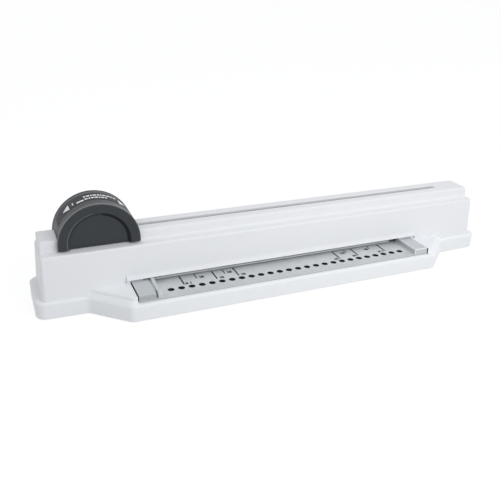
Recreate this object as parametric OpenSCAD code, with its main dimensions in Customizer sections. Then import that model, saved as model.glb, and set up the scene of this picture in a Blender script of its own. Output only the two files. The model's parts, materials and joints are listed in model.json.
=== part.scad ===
// Desk punch for loose-leaf sheets: a half-drum handle slides along a slot in the cover
// and its roller presses a row of spring-loaded punches through the sheet, one after another.
// Millimetres, +Z up. X runs along the row, Y runs from the front shelf to the rear wall.
// The origin is on the floor, under the middle of the object's box.

/* [Base] */
// Length of the base
base_len = 458; // [440:1:480]
// Depth of the base at its ends, from the wing's front to the rear
wing_depth = 57.5; // [56:0.5:62]
// How far the front shelf stands ahead of the wings
shelf_reach = 28.5; // [26:0.5:32]
// How far each end of the shelf slopes out towards the wings
shelf_flare = 31; // [24:0.5:36]
// White margin of the shelf outside the end blocks
shelf_margin = 7; // [6:0.5:12]
// How far the wings' front edges sweep back towards the ends
wing_sweep = 1.3; // [0.5:0.1:2]
// Height of the base from its underside to the flange
base_h = 15; // [14.5:0.5:18]
// Radius of the upright corners of the base
base_corner_r = 9; // [6:0.5:11]
// Radius of the rounded edge of the flange
base_edge_r = 3; // [1.5:0.5:4]
// Thickness of the floor of the tray
floor_t = 2.5; // [2:0.25:3]
// Thickness of the deck under the gauge plate
deck_t = 3; // [2:0.25:3.5]
// Thickness of the outer walls and ribs under the deck
rib_t = 2.5; // [2:0.25:3.5]
// Height of the raised white corners beside the end blocks
table_step = 5.4; // [1.2:0.1:6]
// Margin between an end block and its raised corner's front
corner_margin = 4.2; // [1:0.1:5]

/* [Feet] */
// Diameter of a rubber foot
foot_d = 9; // [7:0.5:10]
// How far a foot stands out of the base
foot_proud = 0.8; // [0.5:0.1:2]
// How deep a foot sits in its pocket
foot_seat = 1.2; // [0.8:0.1:1.8]
// Distance from the end of the shelf to the outer feet
foot_end_inset = 18; // [12:0.5:24]

/* [Cover] */
// Width of the flange between the end of the base and the end of the cover
end_flange = 5.8; // [5:0.2:10]
// Width of the flange between the wing's front and the cover
front_flange = 3.6; // [3:0.1:5]
// Width of the flange between the rear of the base and the cover
rear_flange = 7.5; // [6:0.5:9]
// Height of the cover from the flange to its ledge
cover_h = 39; // [38.5:0.5:45]
// Height of the rail above the ledge
rail_h = 10; // [9:0.5:12]
// Width of the rail
rail_w = 26.5; // [25:0.5:28]
// Depth from the foot of the cover's front to the rail
ledge_w = 12.4; // [11:0.1:13.5]
// How far the rail's ends lie inside the cover's ends
rail_inset = 3.6; // [2.5:0.1:4]
// Wall thickness of the cover
cover_wall = 2.2; // [1.8:0.1:2.6]
// Radius of the upright corners of the cover
cover_corner_r = 8; // [6:0.5:9]
// Radius of the rounded edges of the cover and the rail
cover_edge_r = 2; // [1:0.25:2.5]
// How much the cover's sides lean in towards the ledge
cover_draft = 2.4; // [1:0.1:3]
// Width of the slot in the rail
slot_w = 5.5; // [5:0.1:6.5]
// Solid length of the rail beyond each end of the slot
slot_margin = 33.6; // [30:0.1:45]

/* [Row] */
// Number of holes in the row
hole_count = 26; // [22:1:26]
// Distance between neighbouring holes
hole_pitch = 9.5; // [9:0.1:9.7]
// Offset of the row from the middle of the base
row_shift = 2; // [0:0.5:4]
// Diameter of a sight hole in the gauge plate
sight_d = 6; // [5:0.1:7]
// Distance from the plate's front edge to the sight holes
sight_inset = 12.3; // [10:0.1:14]
// Diameter of a punch
punch_d = 5.8; // [5:0.1:6.2]
// Radial clearance of a punch in its guides
guide_clearance = 0.05; // [0.02:0.01:0.1]
// Radial clearance of a punch in its die
die_clearance = 0.08; // [0.05:0.01:0.1]
// Travel of a punch
punch_stroke = 4.5; // [4:0.1:5]
// Diameter of a punch head
head_d = 8.4; // [8:0.1:8.8]
// Height of a punch head
head_h = 2.5; // [2:0.1:3]
// Wall of a return spring
spring_t = 0.7; // [0.5:0.05:0.8]
// Height of a return spring when it is fully pressed
spring_pressed_h = 6.6; // [6:0.1:7]

/* [Sheet guides] */
// Width of the widest sheet, between the edge guides
sheet_w = 257; // [252:1:262]
// Margin from the sheet's edge to the middle of the holes
hole_margin = 6.5; // [5:0.1:7]
// Height of the sheet slot between the die and the stripper plate
slit_h = 2.4; // [2:0.1:3]
// Thickness of the gauge plate
plate_t = 1; // [0.8:0.1:1.4]
// Front white margin ahead of the gauge plate
plate_margin = 4.7; // [4:0.1:6]
// Thickness of the stripper plate
stripper_t = 1.5; // [1.5:0.1:2.5]
// Height of the end blocks above the plate
block_h = 5.4; // [5:0.1:5.8]
// Width of the left end block
left_block_w = 15.3; // [13:0.1:17]
// Width of the right end block
right_block_w = 14.7; // [13:0.1:17]
// Width of the left edge guide
edge_guide_w = 4.8; // [4:0.1:7]
// Groove between the left end block and the edge guide
guide_groove = 1.5; // [0.4:0.1:1.8]
// Headroom between the end blocks and the cover's lip
lip_gap = 1.9; // [0.8:0.1:2]
// How far the end blocks reach back under the cover
block_tuck = 6.8; // [5:0.1:8]
// Bevel along the front of the end blocks
block_bevel = 1.2; // [0.6:0.1:2]
// Gap between an edge guide and the end of the stripper plate
stripper_gap = 4; // [2:0.1:4.5]
// Bevel at the stripper plate's front corners
stripper_lead = 6; // [2:0.5:8]
// How far the cover's lip flares out over the sheet slot
lip_flare = 1.2; // [0.8:0.1:2]
// Height of the flare above the lip
lip_flare_h = 5; // [3:0.1:7]
// How far the stripper plate's edge lies behind the foot of the cover
lip_depth = 3.9; // [3:0.1:4.5]

/* [Frame] */
// Thickness of the die bar
die_t = 4; // [3:0.25:4.5]
// Thickness of the upper guide plate
upper_guide_t = 2; // [1.5:0.25:2.5]
// Height of the upper guide plate above the stripper plate
guide_spacing = 9.3; // [8:0.1:9.5]
// How far the die bar runs past each edge of the sheet
die_overrun = 36.5; // [35:0.5:40]
// How far the die bar stands ahead of the frame
die_ledge = 6.3; // [6:0.1:7]
// How far the frame runs past each end of the slot
frame_overrun = 19; // [12:0.5:22]
// Thickness of the frame's side plates
frame_t = 1.5; // [1:0.1:1.8]
// Clear width between the frame's side plates
frame_w = 18; // [17:0.25:18.5]
// Width of the track flange along the top of a side plate
track_w = 4.75; // [4:0.25:5]
// Height of the lower track bars
lower_track_h = 1.7; // [1.4:0.1:1.9]
// Width of the lower track bars
lower_track_w = 2.75; // [2:0.25:3]
// Length of an end post
post_l = 12; // [10:0.5:16]
// Height of an end post
post_h = 23; // [21:0.5:24]
// Distance from the sheet's edge to the middle of an end post
post_offset = 17.5; // [15:0.5:18]

/* [Carriage] */
// Length of the carriage block
carriage_l = 48; // [44:1:54]
// Length of the stem that passes through the slot
stem_l = 29; // [28:0.5:32]
// Radius of the press roller
roller_r = 6; // [5.5:0.1:6.2]
// Width of the press roller
roller_w = 8; // [7:0.25:8.5]
// Diameter of the roller's axle
axle_d = 4; // [3:0.1:4.5]
// Gap between the roller and the raised punch heads
roller_gap = 0.3; // [0.2:0.1:0.5]
// Thickness of the glide pads
glide_t = 0.6; // [0.4:0.1:0.7]
// Length of a glide pad
pad_l = 9; // [6:0.5:10]
// Height of the axle above the carriage's underside
axle_height = 3.5; // [3.2:0.1:4]

/* [Handle] */
// Radius of the half drum
drum_r = 34.8; // [33:0.1:37]
// Width of the half drum from front to rear
drum_w = 36.8; // [35:0.1:38.5]
// Height of the drum's foot above the ledge
drum_lift = 1.8; // [1:0.1:2.4]
// How far the drum's centre lies above its foot
drum_rise = 2.9; // [2:0.1:5]
// Wall thickness of the drum
drum_wall = 2.6; // [2:0.1:3]
// Width of the raised rim round the front face
rim_w = 7.8; // [6:0.1:10]
// Depth of the recessed front face
recess_depth = 2.8; // [1.5:0.1:3]
// How far the recess's wall slopes in
recess_slope = 3; // [1:0.1:4]
// Bevel along the drum's edges
drum_bevel = 1; // [0.5:0.1:1.5]
// Width of the label
label_w = 18.8; // [15:0.1:20]
// Thickness of the label
label_t = 0.3; // [0.2:0.05:0.4]
// Angle that the label covers
label_angle = 130; // [100:1:140]
// How far the label lies behind the middle of the drum
label_shift = 3.5; // [2:0.1:4.5]
// Thickness of the plate inside the drum
drum_plate_t = 2.5; // [2:0.1:3]

/* [Chip drawer] */
// Length of the chip drawer inside the base
drawer_reach = 354; // [350:1:356]
// Wall thickness of the chip drawer
drawer_wall = 1.5; // [1.2:0.1:1.8]
// Height of the chip drawer
drawer_h = 8.7; // [8:0.1:8.9]
// Radius of the finger hollow in the drawer's end
grip_r = 6; // [5:0.1:7]
// Depth of the finger hollow
grip_depth = 5; // [4:0.1:6]

/* [Screws] */
// Diameter of the screw shanks
screw_d = 3; // [2.5:0.1:3]
// Diameter of the screw heads
screw_head_d = 5.6; // [5:0.1:5.8]
// Height of the screw heads
screw_head_h = 2; // [1.5:0.1:2.2]

/* [Hidden] */
facets = 32;
// Gap between neighbouring pieces
fit_gap = 0.3;
// Added to the diameter of a screw's hole
hole_play = 0.2;
// How far a cutting shape reaches past the face that it cuts
cut = 1;

// Plan of the base
base_half = base_len / 2;
base_rear = (wing_depth + shelf_reach) / 2;
base_front = -base_rear;
wing_front = base_rear - wing_depth;
base_under = foot_proud;
flange_z = base_under + base_h;

// Plan of the cover
cover_half = base_half - end_flange;
cover_front = wing_front + front_flange;
cover_rear = base_rear - rear_flange;
cover_skin = cover_wall + cover_draft;
inside_half = cover_half - cover_skin;
inside_front = cover_front + cover_skin;
inside_rear = cover_rear - cover_skin;
ledge_z = flange_z + cover_h;
rail_half = cover_half - rail_inset;
rail_front = cover_front + ledge_w;
rail_rear = rail_front + rail_w;
rail_corner_r = cover_edge_r + 1;
rail_z = ledge_z + rail_h;
slot_y = (rail_front + rail_rear) / 2;
slot_half = rail_half - slot_margin;

// Heights of the sheet path, from the plate up to the punch heads
plate_z = flange_z + plate_t;
die_under = plate_z - die_t;
stripper_z = plate_z + slit_h;
stripper_top = stripper_z + stripper_t;
upper_guide_z = stripper_top + guide_spacing;
spring_z = upper_guide_z + upper_guide_t;
spring_h = spring_pressed_h + punch_stroke;
spring_gap = 0.1;
head_z = spring_z + spring_h + spring_gap;
head_top = head_z + head_h;
tip_z = stripper_z + fit_gap;

// Places along the row
function hole_x(i) = row_shift + (i - (hole_count + 1) / 2) * hole_pitch;
left_edge_x = row_shift - sheet_w / 2;
right_edge_x = row_shift + sheet_w / 2;
left_block_x = left_edge_x - edge_guide_w - guide_groove - left_block_w;
right_block_x = right_edge_x + right_block_w;
plate_front = base_front + plate_margin;
sight_y = plate_front + sight_inset;
block_top = plate_z + block_h;
block_rear = cover_front + block_tuck;
lip_z = block_top + lip_gap;
lip_play = 4.5;
filler_gap = 0.6;
filler_inset = 0.4;
stripper_left = left_edge_x + stripper_gap;
stripper_right = right_edge_x - stripper_gap;
stripper_front = cover_front + lip_depth;

// The shelf and its raised corners
shelf_x = (left_block_x + right_block_x) / 2;
shelf_half = (right_block_x - left_block_x) / 2 + shelf_margin;
shelf_angle = atan2(shelf_reach, shelf_flare);
shelf_corner_r = 8;
shelf_corner_x = shelf_half - shelf_corner_r * tan(shelf_angle / 2);
shelf_corner_y = base_front + shelf_corner_r;
shelf_tuck = 5;
shelf_back_y = wing_front + base_corner_r + shelf_tuck;
shelf_back_x = shelf_corner_x + (shelf_back_y - shelf_corner_y) * shelf_flare / shelf_reach;
wing_bend_x = shelf_half + shelf_flare;

// The frame between die bar and track
frame_front = slot_y - frame_w / 2;
frame_rear = slot_y + frame_w / 2;
frame_half = slot_half + frame_overrun;
frame_top = rail_z - cover_wall - 2 * fit_gap;
track_z = frame_top - frame_t;
die_half = sheet_w / 2 + die_overrun;
die_front = frame_front - die_ledge;
die_rear = inside_rear - fit_gap;
shoulder = 5.3;
drawer_bay_front = die_front + shoulder;
drawer_bay_rear = die_rear - shoulder;
stop_y = slot_y + hole_margin;
post_x = sheet_w / 2 + post_offset;
post_clearance = 6;
upper_guide_half = post_x - post_l / 2 - post_clearance;

// The carriage, parked at the left end of the slot
carriage_x = -(slot_half - stem_l / 2 - cut);
axle_z = head_top + roller_gap + roller_r;
roller_play = 0.5;
roller_pocket_r = roller_r + roller_play;
carriage_top = track_z - fit_gap - glide_t;
carriage_under = axle_z - axle_height;
lower_track_z = carriage_under - fit_gap - lower_track_h;
stem_w = slot_w - 2 * fit_gap;
stem_proud = 0.5;
stem_top = rail_z + stem_proud;

// The half drum
drum_front = slot_y - drum_w / 2;
drum_rear = slot_y + drum_w / 2;
drum_foot_z = ledge_z + drum_lift;
drum_z = drum_foot_z + drum_rise;
drum_bore_r = drum_r - drum_wall;
rail_play = 1;
bay_front = rail_front - rail_play;
bay_rear = rail_rear + rail_play;
face_lift = 0.7;
label_front = slot_y - label_w / 2 + label_shift;
label_sink = 0.05;
label_seat = label_t + label_sink;
label_play_angle = 1;
drum_plate_z = stem_top + drum_plate_t;
drum_plate_half = sqrt(pow(drum_bore_r, 2) - pow(drum_plate_z - drum_z, 2)) - fit_gap;
handle_screw_inset = 4;
handle_screw_x = stem_l / 2 - handle_screw_inset;
handle_screw_recess = 3.5;
handle_screw_z = carriage_under + handle_screw_recess;
handle_screw_bite = 7;
handle_screw_end = drum_plate_z + handle_screw_bite;
boss_r = 3.5;
boss_drop = 1.5;
boss_top = drum_z + drum_bore_r - boss_drop;

// Fasteners and feet
screw_r = screw_d / 2;
screw_hole_r = screw_r + hole_play / 2;
cover_screw_inset = 5.9;
cover_screw_x = inside_half - cover_screw_inset;
cover_screw_front_inset = 2;
cover_screw_front = inside_front + cover_screw_front_inset;
cover_screw_rear_inset = 0.6;
cover_screw_rear = inside_rear - cover_screw_rear_inset;
cover_screws_at = [for (sx = [-1, 1], y = [cover_screw_front, cover_screw_rear]) [sx * cover_screw_x, y]];
cover_boss_r = 3.5;
base_post_r = 4;
cover_screw_seat = 6;
cover_screw_z = flange_z - cover_screw_seat;
cover_screw_l = 14;
die_screw_inset = 7;
die_screw_x = die_half - die_screw_inset;
die_screw_front = die_front + screw_head_d / 2;
die_screw_rear = die_rear - screw_head_d / 2;
die_screws_at = [for (sx = [-1, 1], y = [die_screw_front, die_screw_rear]) [sx * die_screw_x, y]];
die_screw_l = 10;
frame_screw_low = 8.5;
frame_screw_high = 18;
frame_screw_levels = [plate_z + frame_screw_low, plate_z + frame_screw_high];
frame_screw_l = 7;
foot_wall = 1.5;
foot_post_r = foot_d / 2 + foot_wall;
foot_merge = 0.5;
shelf_wall = 2 * rib_t;
foot_front_y = base_front + shelf_wall + foot_post_r - foot_merge;
foot_rear_y = base_rear - foot_post_r - foot_merge;
foot_x = shelf_half - foot_end_inset;
feet_along_x = [-foot_x, 0, foot_x];
feet_at = [for (x = feet_along_x, y = [foot_front_y, foot_rear_y]) [x, y]];

// The chip drawer
drawer_z = base_under + floor_t + fit_gap;
drawer_front = drawer_bay_front + fit_gap;
drawer_rear = drawer_bay_rear - fit_gap;
tray_half = inside_half;

function punch_name(i) = str("punch_", i < 10 ? "0" : "", i);
PUNCHES = [for (i = [1 : hole_count]) punch_name(i)];
FIXED = ["base_tray", "top_cover", "gauge_plate", "die_bar", "stripper_plate", "upper_guide_plate",
    "paper_back_stop", "frame_front_plate", "frame_rear_plate", "left_end_post", "right_end_post",
    "front_track", "rear_track", "left_end_block", "left_edge_guide", "right_end_block",
    "rubber_feet", "cover_screws", "die_bar_screws", "frame_screws", "return_springs"];
MOVING = ["slider_handle", "handle_plate", "handle_label", "carriage_block", "glide_pads",
    "roller_axle", "handle_screws", "press_roller", "chip_drawer"];

// Shared shapes

// A box given by its low and high corners
module block(low, high) {
    translate(low)
        cube(high - low);
}

// A profile in Y and Z, drawn out along X
module along_x(x0, x1) {
    translate([x0, 0, 0])
        rotate([90, 0, 90])
            linear_extrude(x1 - x0)
                children();
}

// A round bar along Y
module bar_y(r, y0, y1) {
    translate([0, y1, 0])
        rotate([90, 0, 0])
            cylinder(r = r, h = y1 - y0, $fn = 72);
}

// A hole or shank along Z
module bar_z(r, z0, z1) {
    translate([0, 0, z0])
        cylinder(r = r, h = z1 - z0, $fn = 48);
}

// One corner of a moulded shell: a leaning round post with a rounded top edge
module corner_post(r, h, edge, draft) {
    rotate_extrude($fn = facets)
        polygon(concat([[0, 0], [r, 0]],
            [for (a = [0 : 15 : 90]) [r - draft - edge + edge * cos(a), h - edge + edge * sin(a)]],
            [[0, h]]));
}

// A moulded shell over the given corners
module moulded(corners, z0, z1, r, edge, draft) {
    hull()
        for (c = corners)
            translate([c[0], c[1], z0])
                corner_post(r, z1 - z0, edge, draft);
}

function box_corners(half, y0, y1, r) =
    [for (sx = [-1, 1], y = [y0 + r, y1 - r]) [sx * (half - r), y]];

// A hollow with cut-off corners, so that the wall keeps its thickness round a corner
module hollow(half, y0, y1, z0, z1, c) {
    translate([0, 0, z0])
        linear_extrude(z1 - z0)
            polygon([[c - half, y0], [half - c, y0], [half, y0 + c], [half, y1 - c],
                [half - c, y1], [c - half, y1], [-half, y1 - c], [-half, y0 + c]]);
}

// A pan-head screw that points up, with its shank starting at the origin
module screw_up(shank) {
    translate([0, 0, -screw_head_h])
        cylinder(d = screw_head_d, h = screw_head_h, $fn = 48);
    cylinder(d = screw_d, h = shank, $fn = 48);
}

// The punch line: children repeat at each hole of the row
module each_hole(y) {
    for (i = [1 : hole_count])
        translate([hole_x(i), y, 0])
            children();
}

// The drum's outer form about its own axis, cut off flat at its foot
module half_drum(r, y0, y1, bevel, foot) {
    intersection() {
        translate([carriage_x, y1, drum_z])
            rotate([90, 0, 0])
                rotate_extrude($fn = 96)
                    polygon([[0, 0], [r - bevel, 0], [r, bevel], [r, y1 - y0 - bevel],
                        [r - bevel, y1 - y0], [0, y1 - y0]]);
        block([carriage_x - r - cut, y0 - cut, foot], [carriage_x + r + cut, y1 + cut, drum_z + r + cut]);
    }
}

// A curved band on the drum's crown
module drum_band(r0, r1, y0, y1, angle) {
    translate([carriage_x, y1, drum_z])
        rotate([90, 0, 0])
            rotate([0, 0, 90 - angle / 2])
                rotate_extrude(angle = angle, $fn = 96)
                    translate([r0, 0])
                        square([r1 - r0, y1 - y0]);
}

// Base

module base_tray() {
    color("white")
        difference() {
            union() {
                difference() {
                    base_body();
                    deck_bays();
                    tray_hollow();
                }
                for (p = cover_screws_at)
                    translate([p[0], p[1], 0])
                        bar_z(base_post_r, base_under, flange_z);
                for (x = feet_along_x)
                    translate([x, foot_front_y, 0])
                        bar_z(foot_post_r, base_under, flange_z - deck_t + cut);
            }
            for (p = cover_screws_at)
                translate([p[0], p[1], 0]) {
                    bar_z(screw_hole_r, base_under - cut, flange_z + cut);
                    bar_z(screw_head_d / 2 + hole_play, base_under - cut, cover_screw_z);
                }
            for (p = die_screws_at)
                translate([p[0], p[1], 0])
                    bar_z(screw_hole_r, plate_z - die_t - die_screw_l, plate_z);
            for (p = feet_at)
                translate([p[0], p[1], 0])
                    bar_z(foot_d / 2 + hole_play / 2, base_under - cut, base_under + foot_seat);
        }
}

// The wings, the front shelf and its raised corners
module base_body() {
    wing_y = wing_front + base_corner_r;
    wing_end_x = base_half - base_corner_r;
    moulded([for (sx = [-1, 1], c = [[sx * wing_end_x, base_rear - base_corner_r],
        [sx * wing_end_x, wing_y + wing_sweep], [shelf_x + sx * wing_bend_x, wing_y]]) c],
        base_under, flange_z, base_corner_r, base_edge_r, 0);
    moulded([for (sx = [-1, 1], c = [[shelf_corner_x, shelf_corner_y], [shelf_back_x, shelf_back_y]])
        [shelf_x + sx * c[0], c[1]]], base_under, flange_z, shelf_corner_r, base_edge_r, 0);
    difference() {
        raised_corners();
        block([left_block_x - fit_gap, base_front - cut, base_under],
            [right_block_x + fit_gap, cover_front, plate_z + base_h]);
    }
    mouth_fillers();
}

// Fillers between the end blocks and the ends of the cover's mouth
module mouth_fillers() {
    filler_w = lip_play - filler_gap - fit_gap;
    for (x = [left_block_x - fit_gap - filler_w, right_block_x + fit_gap])
        block([x, cover_front + filler_inset, base_under + cut],
            [x + filler_w, block_rear, lip_z - fit_gap]);
}

// The raised white corners, sloping out like the shelf's ends, with a sloping skirt round them
module raised_corners() {
    corner_gap = 0.1;
    slope = shelf_flare / shelf_reach;
    corner_front = shelf_half - shelf_margin + corner_margin;
    corner_rear = corner_front + (cover_front - corner_gap - plate_front) * slope;
    skirt_w = shelf_margin - corner_margin + plate_margin * slope - base_edge_r;
    skirt_h = 0.4 * table_step;
    narrowing = corner_front / (corner_front + skirt_w);
    translate([shelf_x, 0, base_under + cut])
        linear_extrude(flange_z - base_under - cut + table_step)
            corner_plan(corner_front, corner_rear, cover_front - corner_gap);
    translate([shelf_x, 0, flange_z])
        linear_extrude(skirt_h, scale = [narrowing, 1])
            corner_plan(corner_front / narrowing, corner_rear / narrowing, cover_front - corner_gap);
}

module corner_plan(front_half, rear_half, rear_y) {
    polygon([[-front_half, plate_front], [front_half, plate_front],
        [rear_half, rear_y], [-rear_half, rear_y]]);
}

// Hollow bays under the deck, with ribs between them
module deck_bays() {
    bay_count = 9;
    bay_half = shelf_half - 4;
    bay_pitch = 2 * bay_half / bay_count;
    wing_bay_half = 12;
    for (i = [0 : bay_count - 1])
        let (x0 = i * bay_pitch - bay_half)
            block([x0, base_front + shelf_wall, base_under - cut],
                [x0 + bay_pitch - rib_t, die_front - rib_t, flange_z - deck_t]);
    for (sx = [-1, 1])
        translate([sx * (shelf_half + wing_bay_half + cut), 0, 0])
            block([-wing_bay_half, wing_front + wing_sweep + rib_t, base_under - cut],
                [wing_bay_half, die_front - rib_t, flange_z - deck_t]);
}

// The open tray under the cover, and the drawer's bay below it
module tray_hollow() {
    block([-tray_half, die_front - fit_gap, die_under], [tray_half, inside_rear, flange_z + cut]);
    block([-tray_half, drawer_bay_front, base_under + floor_t],
        [base_half + cut, drawer_bay_rear, die_under - hole_play]);
    block([-tray_half, drawer_bay_front, base_under + floor_t], [tray_half, drawer_bay_rear, flange_z + cut]);
}

module rubber_feet() {
    color("dimgray")
        for (p = feet_at)
            translate([p[0], p[1], 0])
                cylinder(d = foot_d, h = foot_proud + foot_seat, $fn = 48);
}

// Cover

module top_cover() {
    body_corner = 4;
    rail_corner = 3;
    color("white")
        difference() {
            union() {
                difference() {
                    cover_body();
                    hollow(inside_half, inside_front, inside_rear, flange_z - cut, ledge_z - cover_wall,
                        body_corner);
                    hollow(rail_half - cover_wall, rail_front + cover_wall, rail_rear - cover_wall,
                        ledge_z - cover_wall - cut, rail_z - cover_wall, rail_corner);
                }
                for (p = cover_screws_at)
                    translate([p[0], p[1], 0])
                        bar_z(cover_boss_r, flange_z, ledge_z - cover_wall + cut);
            }
            for (p = cover_screws_at)
                translate([p[0], p[1], 0])
                    bar_z(screw_hole_r, flange_z - cut, cover_screw_z + cover_screw_l + cut);
            block([left_block_x - lip_play, cover_front - cut, flange_z - cut],
                [right_block_x + lip_play, inside_front + cut, lip_z]);
            rail_slot();
        }
}

module cover_body() {
    moulded(box_corners(cover_half, cover_front, cover_rear, cover_corner_r),
        flange_z, ledge_z, cover_corner_r, cover_edge_r, cover_draft);
    moulded(box_corners(rail_half, rail_front, rail_rear, rail_corner_r),
        ledge_z - cover_edge_r, rail_z, rail_corner_r, cover_edge_r, 0);
    lip_visor();
}

// The flared lip over the sheet slot
module lip_visor() {
    lip_t = 0.5;
    tip_y = cover_front - lip_flare;
    back_y = cover_front + cover_draft;
    along_x(left_block_x - lip_play, right_block_x + lip_play)
        polygon([[back_y, lip_z], [tip_y, lip_z], [tip_y, lip_z + lip_t],
            [cover_front - lip_flare / 3, lip_z + 0.4 * lip_flare_h], [back_y, lip_z + 1.4 * lip_flare_h]]);
}

// The slot that the stem runs in, with round ends
module rail_slot() {
    block([slot_w / 2 - slot_half, slot_y - slot_w / 2, rail_z - cover_wall - cut],
        [slot_half - slot_w / 2, slot_y + slot_w / 2, rail_z + cut]);
    for (sx = [-1, 1])
        translate([sx * (slot_half - slot_w / 2), slot_y, 0])
            bar_z(slot_w / 2, rail_z - cover_wall - cut, rail_z + cut);
}

module cover_screws() {
    color("gray")
        for (p = cover_screws_at)
            translate([p[0], p[1], cover_screw_z])
                screw_up(cover_screw_l);
}

// Sheet path

module gauge_plate() {
    color("silver")
        difference() {
            block([left_block_x, plate_front, flange_z], [right_block_x, die_front - fit_gap, plate_z]);
            each_hole(sight_y)
                bar_z(sight_d / 2, flange_z - cut, plate_z + cut);
        }
}

module die_bar() {
    color("slategray")
        difference() {
            block([-die_half, die_front, die_under], [die_half, die_rear, plate_z]);
            each_hole(slot_y)
                bar_z(punch_d / 2 + die_clearance, die_under - cut, plate_z + cut);
            for (p = die_screws_at)
                translate([p[0], p[1], 0])
                    bar_z(screw_hole_r, die_under - cut, plate_z + cut);
        }
}

module die_bar_screws() {
    color("gray")
        for (p = die_screws_at)
            translate([p[0], p[1], plate_z])
                mirror([0, 0, 1])
                    screw_up(die_t + die_screw_l - cut);
}

module paper_back_stop() {
    color("slategray")
        block([stripper_left, stop_y, plate_z], [stripper_right, frame_rear + frame_t, stripper_z]);
}

module stripper_plate() {
    color("silver")
        difference() {
            translate([0, 0, stripper_z])
                linear_extrude(stripper_t)
                    polygon([[stripper_left + stripper_lead, stripper_front],
                        [stripper_right - stripper_lead, stripper_front],
                        [stripper_right, stripper_front + stripper_lead],
                        [stripper_right, frame_rear + frame_t], [stripper_left, frame_rear + frame_t],
                        [stripper_left, stripper_front + stripper_lead]]);
            each_hole(slot_y)
                bar_z(punch_d / 2 + guide_clearance, stripper_z - cut, stripper_top + cut);
        }
}

// An end block or edge guide with a bevelled front edge
module end_piece(x0, x1, y0, top) {
    along_x(x0, x1)
        polygon([[y0, plate_z], [y0, top - block_bevel], [y0 + block_bevel, top],
            [block_rear, top], [block_rear, plate_z]]);
}

module left_end_block() {
    color("darkgray")
        end_piece(left_block_x, left_block_x + left_block_w, plate_front, block_top);
}

module left_edge_guide() {
    guide_drop = 0.4;
    color("lightgray")
        end_piece(left_edge_x - edge_guide_w, left_edge_x, plate_front, block_top - guide_drop);
}

// The right end block, with a hollow flank that leads the sheet in
module right_end_block() {
    flank_r = 7;
    flank_bite = 2.6;
    flank_rise = 2.2;
    color("darkgray")
        difference() {
            end_piece(right_edge_x, right_block_x, plate_front, block_top);
            translate([right_edge_x - flank_r + flank_bite, 0, block_top + flank_rise])
                bar_y(flank_r, plate_front - cut, block_rear + cut);
        }
}

// Frame

module upper_guide_plate() {
    color("silver")
        difference() {
            block([-upper_guide_half, frame_front, upper_guide_z],
                [upper_guide_half, frame_rear, upper_guide_z + upper_guide_t]);
            each_hole(slot_y)
                bar_z(punch_d / 2 + guide_clearance, upper_guide_z - cut, spring_z + cut);
        }
}

// A side plate with the track flange bent in along its top; side is -1 in front, 1 behind
module side_plate(side) {
    inner = slot_y + side * frame_w / 2;
    outer = inner + side * frame_t;
    lip = inner - side * track_w;
    difference() {
        along_x(-frame_half, frame_half)
            polygon([[inner, stripper_top], [outer, stripper_top], [outer, frame_top],
                [lip, frame_top], [lip, track_z], [inner, track_z]]);
        for (sx = [-1, 1], z = frame_screw_levels)
            translate([sx * post_x, 0, z])
                bar_y(screw_hole_r, min(inner, outer) - cut, max(inner, outer) + cut);
    }
}

module frame_front_plate() {
    color("lightsteelblue")
        side_plate(-1);
}

module frame_rear_plate() {
    color("lightsteelblue")
        side_plate(1);
}

module end_post(side) {
    difference() {
        block([side * post_x - post_l / 2, frame_front, plate_z],
            [side * post_x + post_l / 2, frame_rear, plate_z + post_h]);
        for (z = frame_screw_levels)
            translate([side * post_x, 0, z])
                bar_y(screw_hole_r, frame_front - cut, frame_rear + cut);
    }
}

module left_end_post() {
    color("gray")
        end_post(-1);
}

module right_end_post() {
    color("gray")
        end_post(1);
}

module frame_screws() {
    color("gray")
        for (sx = [-1, 1], z = frame_screw_levels) {
            translate([sx * post_x, frame_front - frame_t, z])
                rotate([-90, 0, 0])
                    screw_up(frame_screw_l);
            translate([sx * post_x, frame_rear + frame_t, z])
                rotate([90, 0, 0])
                    screw_up(frame_screw_l);
        }
}

// The bars that carry the carriage from below
module front_track() {
    color("silver")
        block([-frame_half, frame_front, lower_track_z],
            [frame_half, frame_front + lower_track_w, lower_track_z + lower_track_h]);
}

module rear_track() {
    color("silver")
        block([-frame_half, frame_rear - lower_track_w, lower_track_z],
            [frame_half, frame_rear, lower_track_z + lower_track_h]);
}

// Punches

module punch(i) {
    nose = 0.4;
    color("lightgray")
        translate([hole_x(i), slot_y, 0])
            rotate_extrude($fn = 48)
                polygon([[0, tip_z], [punch_d / 2 - nose, tip_z], [punch_d / 2, tip_z + nose],
                    [punch_d / 2, head_z], [head_d / 2, head_z], [head_d / 2, head_top - nose],
                    [head_d / 2 - nose, head_top], [0, head_top]]);
}

module return_springs() {
    inner_r = punch_d / 2 + fit_gap;
    color("silver")
        each_hole(slot_y)
            difference() {
                bar_z(inner_r + spring_t, spring_z, spring_z + spring_h);
                bar_z(inner_r, spring_z - cut, spring_z + spring_h + cut);
            }
}

// Carriage

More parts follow.
